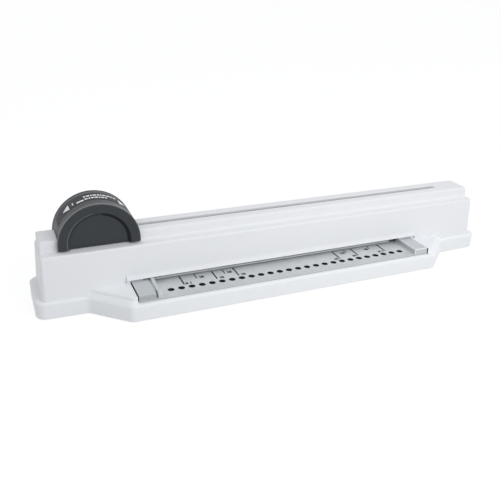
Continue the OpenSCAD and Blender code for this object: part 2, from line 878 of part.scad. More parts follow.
module carriage_block() {
    color("dimgray")
        difference() {
            union() {
                block([carriage_x - carriage_l / 2, frame_front + fit_gap, carriage_under],
                    [carriage_x + carriage_l / 2, frame_rear - fit_gap, carriage_top]);
                block([carriage_x - stem_l / 2 + stem_w / 2, slot_y - stem_w / 2, carriage_top - cut],
                    [carriage_x + stem_l / 2 - stem_w / 2, slot_y + stem_w / 2, stem_top]);
                for (sx = [-1, 1])
                    translate([carriage_x + sx * (stem_l - stem_w) / 2, slot_y, 0])
                        bar_z(stem_w / 2, carriage_top - cut, stem_top);
            }
            translate([carriage_x, 0, axle_z]) {
                bar_y(roller_pocket_r, slot_y - roller_w / 2 - fit_gap, slot_y + roller_w / 2 + fit_gap);
                bar_y(axle_d / 2 + guide_clearance, frame_front - cut, frame_rear + cut);
            }
            for (sx = [-1, 1])
                translate([carriage_x + sx * handle_screw_x, slot_y, 0]) {
                    bar_z(screw_hole_r, carriage_under - cut, stem_top + cut);
                    bar_z(screw_head_d / 2 + hole_play, carriage_under - cut, handle_screw_z);
                }
        }
}

// Low-friction pads between the carriage and the track flanges
module glide_pads() {
    pad_inset = 1.5;
    pad_w = track_w - pad_inset;
    color("ivory")
        for (sx = [-1, 1], y = [frame_front + fit_gap, frame_rear - fit_gap - pad_w])
            translate([carriage_x + sx * (carriage_l / 2 - pad_l / 2) - pad_l / 2, y, carriage_top])
                cube([pad_l, pad_w, glide_t]);
}

module roller_axle() {
    color("silver")
        translate([carriage_x, 0, axle_z])
            bar_y(axle_d / 2, frame_front + 2 * fit_gap, frame_rear - 2 * fit_gap);
}

module press_roller() {
    edge = 0.6;
    bore_r = axle_d / 2 + guide_clearance;
    color("lightgray")
        translate([carriage_x, slot_y + roller_w / 2, axle_z])
            rotate([90, 0, 0])
                rotate_extrude($fn = 72)
                    polygon([[bore_r, 0], [roller_r - edge, 0], [roller_r, edge],
                        [roller_r, roller_w - edge], [roller_r - edge, roller_w], [bore_r, roller_w]]);
}

module handle_screws() {
    color("gray")
        for (sx = [-1, 1])
            translate([carriage_x + sx * handle_screw_x, slot_y, handle_screw_z])
                screw_up(handle_screw_end - handle_screw_z);
}

// Handle

module slider_handle() {
    color("dimgray")
        difference() {
            union() {
                difference() {
                    half_drum(drum_r, drum_front, drum_rear, drum_bevel, drum_foot_z);
                    half_drum(drum_bore_r, bay_front, bay_rear, 0, drum_foot_z - cut);
                    block([carriage_x - drum_r - cut, bay_front, drum_foot_z - cut],
                        [carriage_x + drum_r + cut, bay_rear, stem_top]);
                }
                for (sx = [-1, 1])
                    translate([carriage_x + sx * handle_screw_x, slot_y, 0])
                        bar_z(boss_r, drum_plate_z, boss_top);
            }
            face_recess();
            block([carriage_x - drum_r + rim_w, drum_front - cut, drum_foot_z - cut],
                [carriage_x + drum_r - rim_w, bay_front + cut, drum_foot_z + face_lift]);
            drum_band(drum_r - label_seat, drum_r + cut, label_front - hole_play,
                label_front + label_w + hole_play, label_angle + label_play_angle);
            for (sx = [-1, 1])
                translate([carriage_x + sx * handle_screw_x, slot_y, 0])
                    bar_z(screw_hole_r, drum_plate_z - cut, handle_screw_end + cut);
        }
}

// The recess of the drum's front face, with a sloped wall
module face_recess() {
    r = drum_r - rim_w;
    translate([carriage_x, drum_front + recess_depth, drum_z])
        rotate([90, 0, 0])
            cylinder(h = recess_depth + cut, r1 = r - recess_slope,
                r2 = r + cut * recess_slope / recess_depth, $fn = 96);
}

// The plate inside the drum that rests on the stem
module handle_plate() {
    color("gray")
        difference() {
            block([carriage_x - drum_plate_half, bay_front + fit_gap, stem_top],
                [carriage_x + drum_plate_half, bay_rear - fit_gap, drum_plate_z]);
            for (sx = [-1, 1])
                translate([carriage_x + sx * handle_screw_x, slot_y, 0])
                    bar_z(screw_hole_r, stem_top - cut, drum_plate_z + cut);
        }
}

module handle_label() {
    color("darkslategray")
        drum_band(drum_r - label_seat, drum_r - label_seat + label_t, label_front,
            label_front + label_w, label_angle);
}

// Chip drawer

module chip_drawer() {
    end_wall = 6;
    grip_rise = 1;
    grip_y = (drawer_front + drawer_rear) / 2;
    x0 = base_half - drawer_reach;
    color("white")
        difference() {
            block([x0, drawer_front, drawer_z], [base_half, drawer_rear, drawer_z + drawer_h]);
            block([x0 + drawer_wall, drawer_front + drawer_wall, drawer_z + drawer_wall],
                [base_half - grip_depth - end_wall, drawer_rear - drawer_wall, drawer_z + drawer_h + cut]);
            translate([base_half - grip_depth, grip_y, drawer_z + drawer_h + grip_rise])
                rotate([0, 90, 0])
                    cylinder(r = grip_r, h = grip_depth + cut, $fn = 48);
        }
}

base_tray();
top_cover();
gauge_plate();
die_bar();
stripper_plate();
upper_guide_plate();
paper_back_stop();
frame_front_plate();
frame_rear_plate();
left_end_post();
right_end_post();
front_track();
rear_track();
left_end_block();
left_edge_guide();
right_end_block();
rubber_feet();
cover_screws();
die_bar_screws();
frame_screws();
return_springs();
slider_handle();
handle_plate();
handle_label();
carriage_block();
glide_pads();
roller_axle();
handle_screws();
press_roller();
chip_drawer();
for (i = [1 : hole_count]) punch(i);
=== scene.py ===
import json
import math

import bmesh
import bpy
from mathutils import Euler, Matrix, Vector

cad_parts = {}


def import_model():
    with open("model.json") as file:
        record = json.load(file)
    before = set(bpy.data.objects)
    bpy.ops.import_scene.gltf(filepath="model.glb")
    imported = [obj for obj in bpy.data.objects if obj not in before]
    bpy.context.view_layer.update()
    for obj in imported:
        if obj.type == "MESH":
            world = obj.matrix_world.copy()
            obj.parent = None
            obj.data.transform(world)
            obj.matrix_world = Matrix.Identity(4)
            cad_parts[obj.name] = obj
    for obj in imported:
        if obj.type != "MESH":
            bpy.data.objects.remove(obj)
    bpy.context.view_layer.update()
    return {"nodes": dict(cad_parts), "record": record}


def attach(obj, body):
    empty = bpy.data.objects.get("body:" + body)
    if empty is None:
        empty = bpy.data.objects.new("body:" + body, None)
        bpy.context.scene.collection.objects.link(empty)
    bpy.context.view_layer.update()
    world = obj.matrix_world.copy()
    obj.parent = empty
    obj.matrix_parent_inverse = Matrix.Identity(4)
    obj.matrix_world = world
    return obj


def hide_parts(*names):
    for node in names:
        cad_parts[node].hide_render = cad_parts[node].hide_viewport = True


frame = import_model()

MM = 0.001


def span(name):
    """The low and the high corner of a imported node, in millimetres."""
    points = [vertex.co for vertex in frame["nodes"][name].data.vertices]
    low = [round(min(p[k] for p in points) / MM, 2) for k in range(3)]
    high = [round(max(p[k] for p in points) / MM, 2) for k in range(3)]
    return low, high


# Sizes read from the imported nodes, in millimetres, in the part's own frame
(_, BASE_FRONT, BASE_UNDER), (BASE_HALF, BASE_REAR, _) = span("base_tray")
(_, _, FLANGE_Z), (COVER_HALF, COVER_REAR, RAIL_Z) = span("top_cover")
(LEFT_BLOCK_X, PLATE_FRONT, PLATE_Z), (LEFT_BLOCK_END, BLOCK_REAR, BLOCK_TOP) = span("left_end_block")
(RIGHT_EDGE_X, _, _), (RIGHT_BLOCK_X, _, _) = span("right_end_block")
(GUIDE_LEFT, _, _), (LEFT_EDGE_X, _, _) = span("left_edge_guide")
(STRIPPER_LEFT, STRIPPER_FRONT, STRIPPER_UNDER), (_, _, STRIPPER_TOP) = span("stripper_plate")
(_, DIE_FRONT, DIE_UNDER), _ = span("die_bar")
(DRUM_LEFT, DRUM_FRONT, DRUM_FOOT), (DRUM_RIGHT, DRUM_REAR, DRUM_TOP) = span("slider_handle")
DRUM_X, DRUM_R = (DRUM_LEFT + DRUM_RIGHT) / 2, (DRUM_RIGHT - DRUM_LEFT) / 2
DRUM_Z = DRUM_TOP - DRUM_R

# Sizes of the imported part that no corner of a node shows, in millimetres
WING_FRONT, WING_SWEEP = -14.5, 1.3
SHELF_X, SHELF_HALF, SHELF_FLARE = -1.45, 153.65, 31.0
CORNER_HALF, CORNER_GAP = 150.85, 0.7
COVER_FRONT, COVER_DRAFT, COVER_EDGE_R = -10.9, 2.4, 2.0
INSIDE_HALF, INSIDE_FRONT, INSIDE_REAR = 218.6, -6.3, 30.9
LEDGE_Z, LIP_Z, COVER_WALL = 54.8, 24.1, 2.2
RAIL_HALF, RAIL_FRONT, RAIL_REAR = 219.6, 1.5, 28.0
SLOT_HALF, SLOT_Y, SLOT_W = 186.0, 14.75, 5.5
PLATE_T, SIGHT_Y, SIGHT_R = 1.0, -26.0, 3.0
ROW_X, PITCH, HOLES = 2.0, 9.5, 26
STRIPPER_LEAD, LIP_PLAY, DIE_PLAY = 6.0, 4.5, 0.3
DRAWER_BAY_FRONT, DRAWER_BAY_REAR = 4.75, 25.3
DRAWER_BAY_FLOOR, DRAWER_BAY_TOP = 3.3, 12.6


# Materials

GRAIN_DEPTH, GRAIN_DETAIL = 0.0001, 4.0
DRIFT_SCALE, DRIFT_DETAIL, GLOSS_VARY = 35.0, 2.0, 0.04
NOISE_LOW, NOISE_HIGH = 0.3, 0.7


def new_material(name):
    mat = bpy.data.materials.new(name)
    mat.use_nodes = True
    return mat, mat.node_tree.nodes, mat.node_tree.links, mat.node_tree.nodes["Principled BSDF"]


def noise(nodes, links, scale, detail, stretch=None):
    """Noise in the object's own coordinates."""
    coord = nodes.new("ShaderNodeTexCoord")
    tex = nodes.new("ShaderNodeTexNoise")
    tex.inputs["Scale"].default_value = scale
    tex.inputs["Detail"].default_value = detail
    if stretch:
        mapping = nodes.new("ShaderNodeMapping")
        mapping.inputs["Scale"].default_value = stretch
        links.new(coord.outputs["Object"], mapping.inputs["Vector"])
        links.new(mapping.outputs["Vector"], tex.inputs["Vector"])
    else:
        links.new(coord.outputs["Object"], tex.inputs["Vector"])
    return tex


def map_range(nodes, links, source, low, high, start=NOISE_LOW, end=NOISE_HIGH):
    """The source between start and end, drawn out to low and high."""
    node = nodes.new("ShaderNodeMapRange")
    node.inputs["From Min"].default_value = start
    node.inputs["From Max"].default_value = end
    node.inputs["To Min"].default_value = low
    node.inputs["To Max"].default_value = high
    links.new(source, node.inputs["Value"])
    return node


def faded(nodes, links, color, front_y, rear_y, front, rear):
    """The colour scaled from front to rear, by the object's own y."""
    coord = nodes.new("ShaderNodeTexCoord")
    split = nodes.new("ShaderNodeSeparateXYZ")
    links.new(coord.outputs["Object"], split.inputs["Vector"])
    depth = map_range(nodes, links, split.outputs["Y"], front, rear, front_y, rear_y)
    scaled = nodes.new("ShaderNodeMix")
    scaled.data_type = "RGBA"
    scaled.blend_type = "MULTIPLY"
    scaled.inputs["Factor"].default_value = 1.0
    links.new(color, scaled.inputs["A"])
    links.new(depth.outputs["Result"], scaled.inputs["B"])
    return scaled


def surface(name, color, rough, metallic=0.0, grain=1500.0, bump=0.05, vary=0.03, stretch=None,
            specular=0.5, fade=None):
    """A moulded or metal surface: slow colour drift, uneven gloss and a fine grain.

    A fade, used here for painted highlight and painted shade, gives y in metres at its front and rear, and
    the colour's factor at each.
    """
    mat, nodes, links, bsdf = new_material(name)
    bsdf.inputs["Metallic"].default_value = metallic
    bsdf.inputs["Specular IOR Level"].default_value = specular
    fine = noise(nodes, links, grain, GRAIN_DETAIL, stretch)
    slow = noise(nodes, links, DRIFT_SCALE, DRIFT_DETAIL)
    mix = nodes.new("ShaderNodeMix")
    mix.data_type = "RGBA"
    mix.inputs["A"].default_value = (*(c * (1.0 - vary) for c in color), 1.0)
    mix.inputs["B"].default_value = (*(min(1.0, c * (1.0 + vary)) for c in color), 1.0)
    half = nodes.new("ShaderNodeMath")
    half.operation = "MULTIPLY"
    half.inputs[1].default_value = 0.5
    links.new(slow.outputs["Fac"], half.inputs[0])
    blend = nodes.new("ShaderNodeMath")
    blend.operation = "MULTIPLY_ADD"
    blend.inputs[1].default_value = 0.5
    links.new(fine.outputs["Fac"], blend.inputs[0])
    links.new(half.outputs["Value"], blend.inputs[2])
    links.new(blend.outputs["Value"], mix.inputs["Factor"])
    if fade:
        mix = faded(nodes, links, mix.outputs["Result"], *fade)
    links.new(mix.outputs["Result"], bsdf.inputs["Base Color"])
    gloss = map_range(nodes, links, slow.outputs["Fac"], rough - GLOSS_VARY, rough + GLOSS_VARY)
    links.new(gloss.outputs["Result"], bsdf.inputs["Roughness"])
    relief = nodes.new("ShaderNodeBump")
    relief.inputs["Strength"].default_value = bump
    relief.inputs["Distance"].default_value = GRAIN_DEPTH
    links.new(fine.outputs["Fac"], relief.inputs["Height"])
    links.new(relief.outputs["Normal"], bsdf.inputs["Normal"])
    return mat


# Plastics of the base, the cover and the drum
BASE_WHITE = surface("base_plastic", (0.885, 0.897, 0.914), 0.42, grain=2600.0, bump=0.03, vary=0.008,
                     specular=0.18)
WHITE = surface("white_plastic", (0.855, 0.863, 0.883), 0.42, grain=2600.0, bump=0.03, vary=0.008,
                specular=0.18)
DARK = surface("dark_plastic", (0.031, 0.036, 0.041), 0.42, grain=3200.0, bump=0.10, vary=0.08,
               specular=0.32)
# Painted shade: a darker copy of the drum's plastic, for the recess's right slope
DARK_PAINTED_SHADE = surface("dark_painted_shade", (0.012, 0.014, 0.016), 0.5, grain=3200.0, bump=0.08, vary=0.08,
                     specular=0.15)
# Painted highlight: a lighter copy of the drum's plastic, for its rim edge, the band behind the label and the
# recess's left edge
DARK_PAINTED_HIGHLIGHT = surface("dark_painted_highlight", (0.150, 0.162, 0.175), 0.36, grain=3200.0, bump=0.06, vary=0.06,
                    specular=0.4)

# The label, painted lighter in a band at its rear as a painted highlight, and the printed marks
LABEL_WITH_PAINTED_HIGHLIGHT = surface("label_film", (0.018, 0.020, 0.024), 0.44, grain=1800.0, bump=0.04, vary=0.06,
                specular=0.14, fade=(0.0256, 0.0259, 1.0, 4.5))
PRINT_WHITE = surface("white_print", (0.94, 0.95, 0.96), 0.5, grain=2500.0, bump=0.02, vary=0.02)
PRINT_BLACK = surface("black_print", (0.018, 0.019, 0.02), 0.5, grain=2500.0, bump=0.02, vary=0.1)

# The silver plates, with a grain along X; the gauge plate is painted darker towards its front, as painted
# shade
ALONG_X = (0.35, 1.0, 1.0)
SILVER = surface("silver_plate", (0.64, 0.665, 0.685), 0.45, metallic=0.05, grain=2200.0, bump=0.10,
                 vary=0.06, stretch=ALONG_X)
PLATE_WITH_PAINTED_SHADE = surface("gauge_silver_painted_shade", (0.80, 0.83, 0.855), 0.45, metallic=0.05, grain=900.0, bump=0.10,
                vary=0.22, stretch=ALONG_X, fade=(-0.037, -0.010, 0.71, 1.0))

# The grey blocks and the guide
BLOCK_GREY = surface("block_grey", (0.56, 0.59, 0.61), 0.42, grain=1200.0, bump=0.06, vary=0.05)
# Painted shade: a darker copy of the blocks' grey, for the left block's front and the groove by the guide
BLOCK_PAINTED_SHADE = surface("block_painted_shade", (0.42, 0.445, 0.46), 0.45, grain=1200.0, bump=0.06, vary=0.05)
# Painted shade: a darker copy of the blocks' grey, for the right block's flank
FLANK_PAINTED_SHADE = surface("side_painted_shade", (0.52, 0.545, 0.56), 0.45, grain=1200.0, bump=0.06, vary=0.05)
# Painted highlight: a lighter copy of the blocks' grey, on the right block's bevelled edges
EDGE_PAINTED_HIGHLIGHT = surface("block_painted_highlight", (0.86, 0.88, 0.895), 0.35, grain=2400.0, bump=0.05, vary=0.03)
GUIDE_GREY = surface("guide_grey", (0.60, 0.625, 0.64), 0.42, grain=2400.0, bump=0.05, vary=0.03)

# Inside and underneath
STEEL = surface("ground_steel", (0.42, 0.44, 0.45), 0.36, metallic=0.8, grain=900.0, bump=0.06, vary=0.08,
                stretch=(0.08, 1.0, 1.0))
ZINC = surface("zinc_sheet", (0.52, 0.55, 0.58), 0.4, metallic=0.8, grain=260.0, bump=0.03, vary=0.14)
CAST = surface("cast_metal", (0.42, 0.43, 0.44), 0.5, metallic=0.7, grain=1400.0, bump=0.15, vary=0.1)
RUBBER = surface("foot_rubber", (0.022, 0.022, 0.024), 0.8, grain=2200.0, bump=0.2, vary=0.2, specular=0.3)
SCREW = surface("screw_metal", (0.50, 0.51, 0.53), 0.34, metallic=0.85, bump=0.05, vary=0.1)
SPRING = surface("spring_wire", (0.48, 0.49, 0.50), 0.3, metallic=0.9, grain=1200.0, bump=0.3, vary=0.12,
                 stretch=(0.05, 0.05, 1.0))
INNER = surface("inner_plastic", (0.085, 0.086, 0.09), 0.55, grain=2000.0, bump=0.12, vary=0.12)
GLIDE = surface("glide_plastic", (0.72, 0.70, 0.64), 0.5, grain=2000.0, bump=0.05, vary=0.04)
TURNED = surface("turned_steel", (0.55, 0.56, 0.58), 0.25, metallic=0.9, grain=1800.0, bump=0.05, vary=0.08,
                 stretch=(1.0, 0.1, 1.0))
# Painted shade in black: the sight holes' walls and the sheet under them, the visor's ends, the left block's
# outer end and thin lines at the plate
PAINTED_SHADE_BLACK = surface("painted_shade_black", (0.010, 0.010, 0.011), 0.75, grain=2500.0, bump=0.1, vary=0.2,
                     specular=0.2)

NODE_MATERIALS = {
    "white_shell": WHITE, "silver_plate": SILVER, "grey_block": BLOCK_GREY, "light_guide": GUIDE_GREY,
    "tool_steel": STEEL, "zinc_plate": ZINC, "post_metal": CAST, "rubber": RUBBER, "screw_steel": SCREW,
    "spring_steel": SPRING, "handle_plastic": DARK, "inner_plastic": INNER, "label_film": LABEL_WITH_PAINTED_HIGHLIGHT,
    "glide_plastic": GLIDE, "roller_steel": TURNED, "punch_steel": TURNED,
}
for sub in frame["record"]["subparts"]:
    node = frame["nodes"][sub["node"]]
    node.data.materials.clear()
    node.data.materials.append(NODE_MATERIALS[sub["material_slot"]])
frame["nodes"]["stripper_plate"].data.materials[0] = SILVER


# Mesh helpers

WELD, SLIVER, SHARP, FACE_WEIGHT = 2e-6, 1e-7, math.radians(38), 60


def piece(name, points, faces, materials, body, stands_for=(), bevel=0.0, segments=3,
          weighted=True, face_material=None, edge_material=-1):
    """Makes a piece from points in millimetres, rides it on a body and lets it stand for CAD nodes."""
    mesh = bpy.data.meshes.new(name)
    mesh.from_pydata([(x * MM, y * MM, z * MM) for x, y, z in points], [], faces)
    for mat in materials:
        mesh.materials.append(mat)
    if face_material:
        for poly, index in zip(mesh.polygons, face_material):
            poly.material_index = index
    bm = bmesh.new()
    bm.from_mesh(mesh)
    bmesh.ops.remove_doubles(bm, verts=bm.verts, dist=WELD)
    bmesh.ops.dissolve_degenerate(bm, edges=bm.edges, dist=SLIVER)
    bmesh.ops.recalc_face_normals(bm, faces=bm.faces)
    for face in bm.faces:
        face.smooth = True
    for edge in bm.edges:
        edge.smooth = not (edge.is_manifold and edge.calc_face_angle(0.0) > SHARP)
    bm.to_mesh(mesh)
    bm.free()
    obj = bpy.data.objects.new(name, mesh)
    bpy.context.scene.collection.objects.link(obj)
    if bevel:
        mod = obj.modifiers.new("soft_edges", "BEVEL")
        mod.width = bevel * MM
        mod.segments = segments
        mod.limit_method = "ANGLE"
        mod.angle_limit = SHARP
        mod.use_clamp_overlap = True
        mod.material = edge_material
    if weighted:
        mod = obj.modifiers.new("face_weighted", "WEIGHTED_NORMAL")
        mod.keep_sharp = not bevel
        mod.weight = FACE_WEIGHT
    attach(obj, body)
    if stands_for:
        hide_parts(*stands_for)
    return obj


def quarter(count):
    """Angles over a quarter turn, in equal steps."""
    return [math.pi / 2 * k / count for k in range(count + 1)]


def box_points(low, high):
    """Corners of a box, in the order that BOX_FACES counts them."""
    return [(x, y, z) for x in (low[0], high[0]) for y in (low[1], high[1]) for z in (low[2], high[2])]


BOX_FACES = [(0, 1, 3, 2), (4, 6, 7, 5), (0, 4, 5, 1), (2, 3, 7, 6), (0, 2, 6, 4), (1, 5, 7, 3)]


def prism_x(profile, x0, x1):
    """A profile in (y, z), counter-clockwise seen from +X, drawn along X."""
    n = len(profile)
    points = [(x0, y, z) for y, z in profile] + [(x1, y, z) for y, z in profile]
    faces = [tuple(reversed(range(n))), tuple(range(n, 2 * n))]
    faces += [(k, (k + 1) % n, n + (k + 1) % n, n + k) for k in range(n)]
    return points, faces


def prism_y(profile, y0, y1):
    """A profile in (x, z) drawn along Y."""
    n = len(profile)
    points = [(x, y0, z) for x, z in profile] + [(x, y1, z) for x, z in profile]
    faces = [tuple(range(n)), tuple(reversed(range(n, 2 * n)))]
    faces += [(k, n + k, n + (k + 1) % n, (k + 1) % n) for k in range(n)]
    return points, faces


def ring_solid(rings):
    """Points and faces of a closed solid through equal rings, with flat ends."""
    count = len(rings[0])
    points = [p for ring in rings for p in ring]
    faces = [tuple(reversed(range(count)))]
    for j in range(len(rings) - 1):
        for i in range(count):
            n = (i + 1) % count
            faces.append((j * count + i, j * count + n, (j + 1) * count + n, (j + 1) * count + i))
    faces.append(tuple(range((len(rings) - 1) * count, len(rings) * count)))
    return points, faces


def append_solid(points, faces, more, skin):
    """Adds a second solid to the points and faces of a first."""
    faces += [tuple(len(points) + i for i in f) for f in skin]
    points += more


# Cover

MOUTH_LEFT, MOUTH_RIGHT = LEFT_BLOCK_X - LIP_PLAY, RIGHT_BLOCK_X + LIP_PLAY
MOUTH_R, CORNER_STEPS = 2.0, 10
FRONT_CORNER_R, REAR_CORNER_R = 4.4, 2.8
LEDGE_CORNER_R, LEDGE_CORNER_LEAST, LEDGE_REAR_R = 2.2, 1.0, 0.6
RAIL_FILLET, RAIL_FOOT_R, RAIL_CORNER_R = 2.4, 1.5, 1.7
SLOT_EDGE, RAIL_INSIDE_R, INSIDE_R = 0.5, 3.0, 4.0
LIP_FLARE, LIP_RISE, LIP_START = 1.75, 5.5, 0.8
LEDGE_END, RAIL_END_FLARE = 0.2, 0.06
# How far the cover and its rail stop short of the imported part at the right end
RIGHT_SHORT, RAIL_SHORT, RIGHT_PART = 2.0, 1.0, 190.0


def front_stations():
    """Places along the cover's front where its rings have points: the mouth's round ends and some between."""
    inner = [50.0 * k for k in range(-2, 3)]
    outer = 175.0
    rise = [MOUTH_R * (1 - math.cos(a)) for a in quarter(4)]
    return ([-outer] + [MOUTH_LEFT + d for d in rise] + inner
            + [MOUTH_RIGHT - d for d in reversed(rise)] + [outer])


STATIONS = front_stations()


def rounded_ring(half, y0, y1, r, height, rear_r=None):
    """A rounded rectangle; height is a number, or a function of x for the front side."""
    q = r if rear_r is None else rear_r
    far = 1e6

    def height_at(x):
        return height(x) if callable(height) else height

    flat = height_at(-far)
    points = [(x, y0, height_at(x)) for x in [r - half] + STATIONS + [half - r]]
    turns = [(half - r, y0 + r, -90, r), (half - q, y1 - q, 0, q),
             (q - half, y1 - q, 90, q), (r - half, y0 + r, 180, r)]
    for k, (cx, cy, start, bend) in enumerate(turns):
        first = 1 if k == 0 else 0
        last = CORNER_STEPS - 1 if k == 3 else CORNER_STEPS
        if k == 2:
            points += [(x, y1, flat) for x in reversed(STATIONS)]
        for n in range(first, last + 1):
            a = math.radians(start + 90.0 * n / CORNER_STEPS)
            points.append((cx + bend * math.cos(a), cy + bend * math.sin(a), flat))
    return points


def mouth_height(x):
    """Height of the mouth's upper edge, with rounded ends; outside the mouth it is the lip's height."""
    reach = min(x - MOUTH_LEFT, MOUTH_RIGHT - x)
    if reach < 0 or reach >= MOUTH_R:
        return LIP_Z
    return LIP_Z - MOUTH_R + math.sqrt(max(0.0, MOUTH_R ** 2 - (MOUTH_R - reach) ** 2))


def visor_profile():
    """Section of the flared lip over the sheet slot, in y and z."""
    lean = COVER_DRAFT / (LEDGE_Z - COVER_EDGE_R - FLANGE_Z)
    sink, steps = 0.05, 10
    curve = []
    for k in range(steps + 1):
        z = LIP_Z + LIP_RISE * (1 - k / steps)
        curve.append((COVER_FRONT + lean * (z - FLANGE_Z) + sink - LIP_FLARE * (k / steps) ** 2, z))
    back = COVER_FRONT + COVER_DRAFT
    return [(back, LIP_Z), (back, LIP_Z + LIP_RISE)] + curve


def cover_rings():
    """Rings from the foot over the ledge, the rail and the slot to the inside, and the inner lip's number."""
    rings = []

    def add(short, *ring):
        rings.append([(x - short * (x > RIGHT_PART), y, z) for x, y, z in rounded_ring(*ring)])

    def wall(d, height):
        add(RIGHT_SHORT, COVER_HALF - d, COVER_FRONT + d, COVER_REAR - d, FRONT_CORNER_R - d, height,
            REAR_CORNER_R - d)

    wall_top = LEDGE_Z - COVER_EDGE_R
    wall(0.0, FLANGE_Z)
    wall(COVER_DRAFT * (LIP_Z - FLANGE_Z) / (wall_top - FLANGE_Z), mouth_height)
    for a in quarter(7):
        e = COVER_EDGE_R * (1 - math.cos(a))
        least = RAIL_HALF + LEDGE_END
        half = max(COVER_HALF - COVER_DRAFT - e, least)
        add(min(RIGHT_SHORT, half - least + RAIL_SHORT), half, COVER_FRONT + COVER_DRAFT + e,
            COVER_REAR - COVER_DRAFT - e, max(LEDGE_CORNER_R - 0.5 * e, LEDGE_CORNER_LEAST),
            wall_top + COVER_EDGE_R * math.sin(a), LEDGE_REAR_R)
    for a in quarter(7):
        o = RAIL_FILLET * (1 - math.sin(a))
        add(RAIL_SHORT, RAIL_HALF + RAIL_END_FLARE * o, RAIL_FRONT - o, RAIL_REAR + o, RAIL_FOOT_R,
            LEDGE_Z + RAIL_FILLET * (1 - math.cos(a)))
    for a in quarter(8):
        e = COVER_EDGE_R * (1 - math.cos(a))
        add(RAIL_SHORT, RAIL_HALF - e, RAIL_FRONT + e, RAIL_REAR - e, RAIL_CORNER_R - 0.5 * e,
            RAIL_Z - COVER_EDGE_R + COVER_EDGE_R * math.sin(a))
    slot_r, under = SLOT_W / 2, RAIL_Z - COVER_WALL
    for a in quarter(4):
        e = SLOT_EDGE * (1 - math.sin(a))
        add(RAIL_SHORT, SLOT_HALF + e, SLOT_Y - slot_r - e, SLOT_Y + slot_r + e, slot_r + e,
            RAIL_Z - SLOT_EDGE * (1 - math.cos(a)))
    add(RAIL_SHORT, SLOT_HALF, SLOT_Y - slot_r, SLOT_Y + slot_r, slot_r, under)
    for height in (under, LEDGE_Z - COVER_WALL):
        add(RAIL_SHORT, RAIL_HALF - COVER_WALL, RAIL_FRONT + COVER_WALL, RAIL_REAR - COVER_WALL,
            RAIL_INSIDE_R, height)
    inner_lip = len(rings) + 1
    for height in (LEDGE_Z - COVER_WALL, mouth_height, FLANGE_Z):
        add(RIGHT_SHORT, INSIDE_HALF, INSIDE_FRONT, INSIDE_REAR, INSIDE_R, height)
    return rings, inner_lip


def cover():
    rings, inner_lip = cover_rings()
    count, total = len(rings[0]), len(rings)
    points = [p for ring in rings for p in ring]
    first = 1 + STATIONS.index(MOUTH_LEFT)
    last = 1 + STATIONS.index(MOUTH_RIGHT)
    cut_rows = {0, inner_lip, total - 1}
    faces = []
    for j in range(total):
        below, above = j * count, ((j + 1) % total) * count
        for i in range(count):
            n = (i + 1) % count
            if j in cut_rows and first <= i < last:
                continue
            faces.append((below + i, below + n, above + n, above + i))
    lip, inside, foot = count, inner_lip * count, (total - 1) * count
    for i in range(first, last):
        faces.append((lip + i, lip + i + 1, inside + i + 1, inside + i))
    for i in (first, last):
        faces.append((i, lip + i, inside + i, foot + i))
    visor, skin = prism_x(visor_profile(), MOUTH_LEFT + LIP_START, MOUTH_RIGHT)
    # The visor's two end caps take black painted shade
    marks = [0] * len(faces) + [1, 1] + [0] * (len(skin) - 2)
    append_solid(points, faces, visor, skin)
    return piece("cover_shell", points, faces, [WHITE, PAINTED_SHADE_BLACK], "housing", ["top_cover"],
                 bevel=0.45, face_material=marks)


cover()


# Base

BASE_TOP_R, BASE_FOOT_R = 2.3, 0.6
SHELF_CORNER_R, FLARE_CORNER_R, WING_CORNER_R = 8.0, 7.0, 9.0
BAY_COUNT, BAY_RIB, BAY_MARGIN = 9, 2.5, 4.0
BASE_OUTLINE = [
    (SHELF_X - SHELF_HALF, BASE_FRONT, SHELF_CORNER_R),
    (SHELF_X + SHELF_HALF, BASE_FRONT, SHELF_CORNER_R),
    (SHELF_X + SHELF_HALF + SHELF_FLARE, WING_FRONT, FLARE_CORNER_R),
    (BASE_HALF, WING_FRONT + WING_SWEEP, WING_CORNER_R),
    (BASE_HALF, BASE_REAR, WING_CORNER_R),
    (-BASE_HALF, BASE_REAR, WING_CORNER_R),
    (-BASE_HALF, WING_FRONT + WING_SWEEP, WING_CORNER_R),
    (SHELF_X - SHELF_HALF - SHELF_FLARE, WING_FRONT, FLARE_CORNER_R),
]
# Raised corners: offset outside the top edge and height above the flange, from the skirt to the top
STEP_PROFILE = [
    (5.3, -3.4), (5.3, -2.4), (5.0, -1.2), (4.6, -0.4), (4.0, 0.3), (3.0, 1.0), (1.5, 1.75), (0.5, 2.15),
    (0.22, 2.35), (0.1, 2.9), (0.05, 3.6), (0.0, 4.3), (-0.12, 4.75), (-0.4, 5.13), (-0.8, 5.34), (-1.4, 5.4),
]
CORNER_BEND, CORNER_FRONT_SHARE, CORNER_REAR = 2.4, 0.6, COVER_FRONT + 2.0


def filleted(corners, steps=9):
    """Samples (x, y, outward normal) along a polygon with rounded corners, counter-clockwise."""
    samples = []
    n = len(corners)
    for k in range(n):
        (x, y, r), (px, py, _), (qx, qy, _) = corners[k], corners[k - 1], corners[(k + 1) % n]
        back = Vector((px - x, py - y)).normalized()
        ahead = Vector((qx - x, qy - y)).normalized()
        outward = 1.0 if back.y * ahead.x > back.x * ahead.y else -1.0
        half = math.acos(max(-1.0, min(1.0, back.dot(ahead)))) / 2
        reach = r / math.tan(half)
        middle = (back + ahead).normalized() * (r / math.sin(half))
        centre = Vector((x, y)) + middle
        start = Vector((x, y)) + back * reach - centre
        end = Vector((x, y)) + ahead * reach - centre
        a0, a1 = math.atan2(start.y, start.x), math.atan2(end.y, end.x)
        sweep = (a1 - a0 + math.pi) % (2 * math.pi) - math.pi
        for s in range(steps + 1):
            a = a0 + sweep * s / steps
            d = Vector((math.cos(a), math.sin(a)))
            p = centre + d * r
            samples.append((p.x, p.y, d.x * outward, d.y * outward))
    return samples


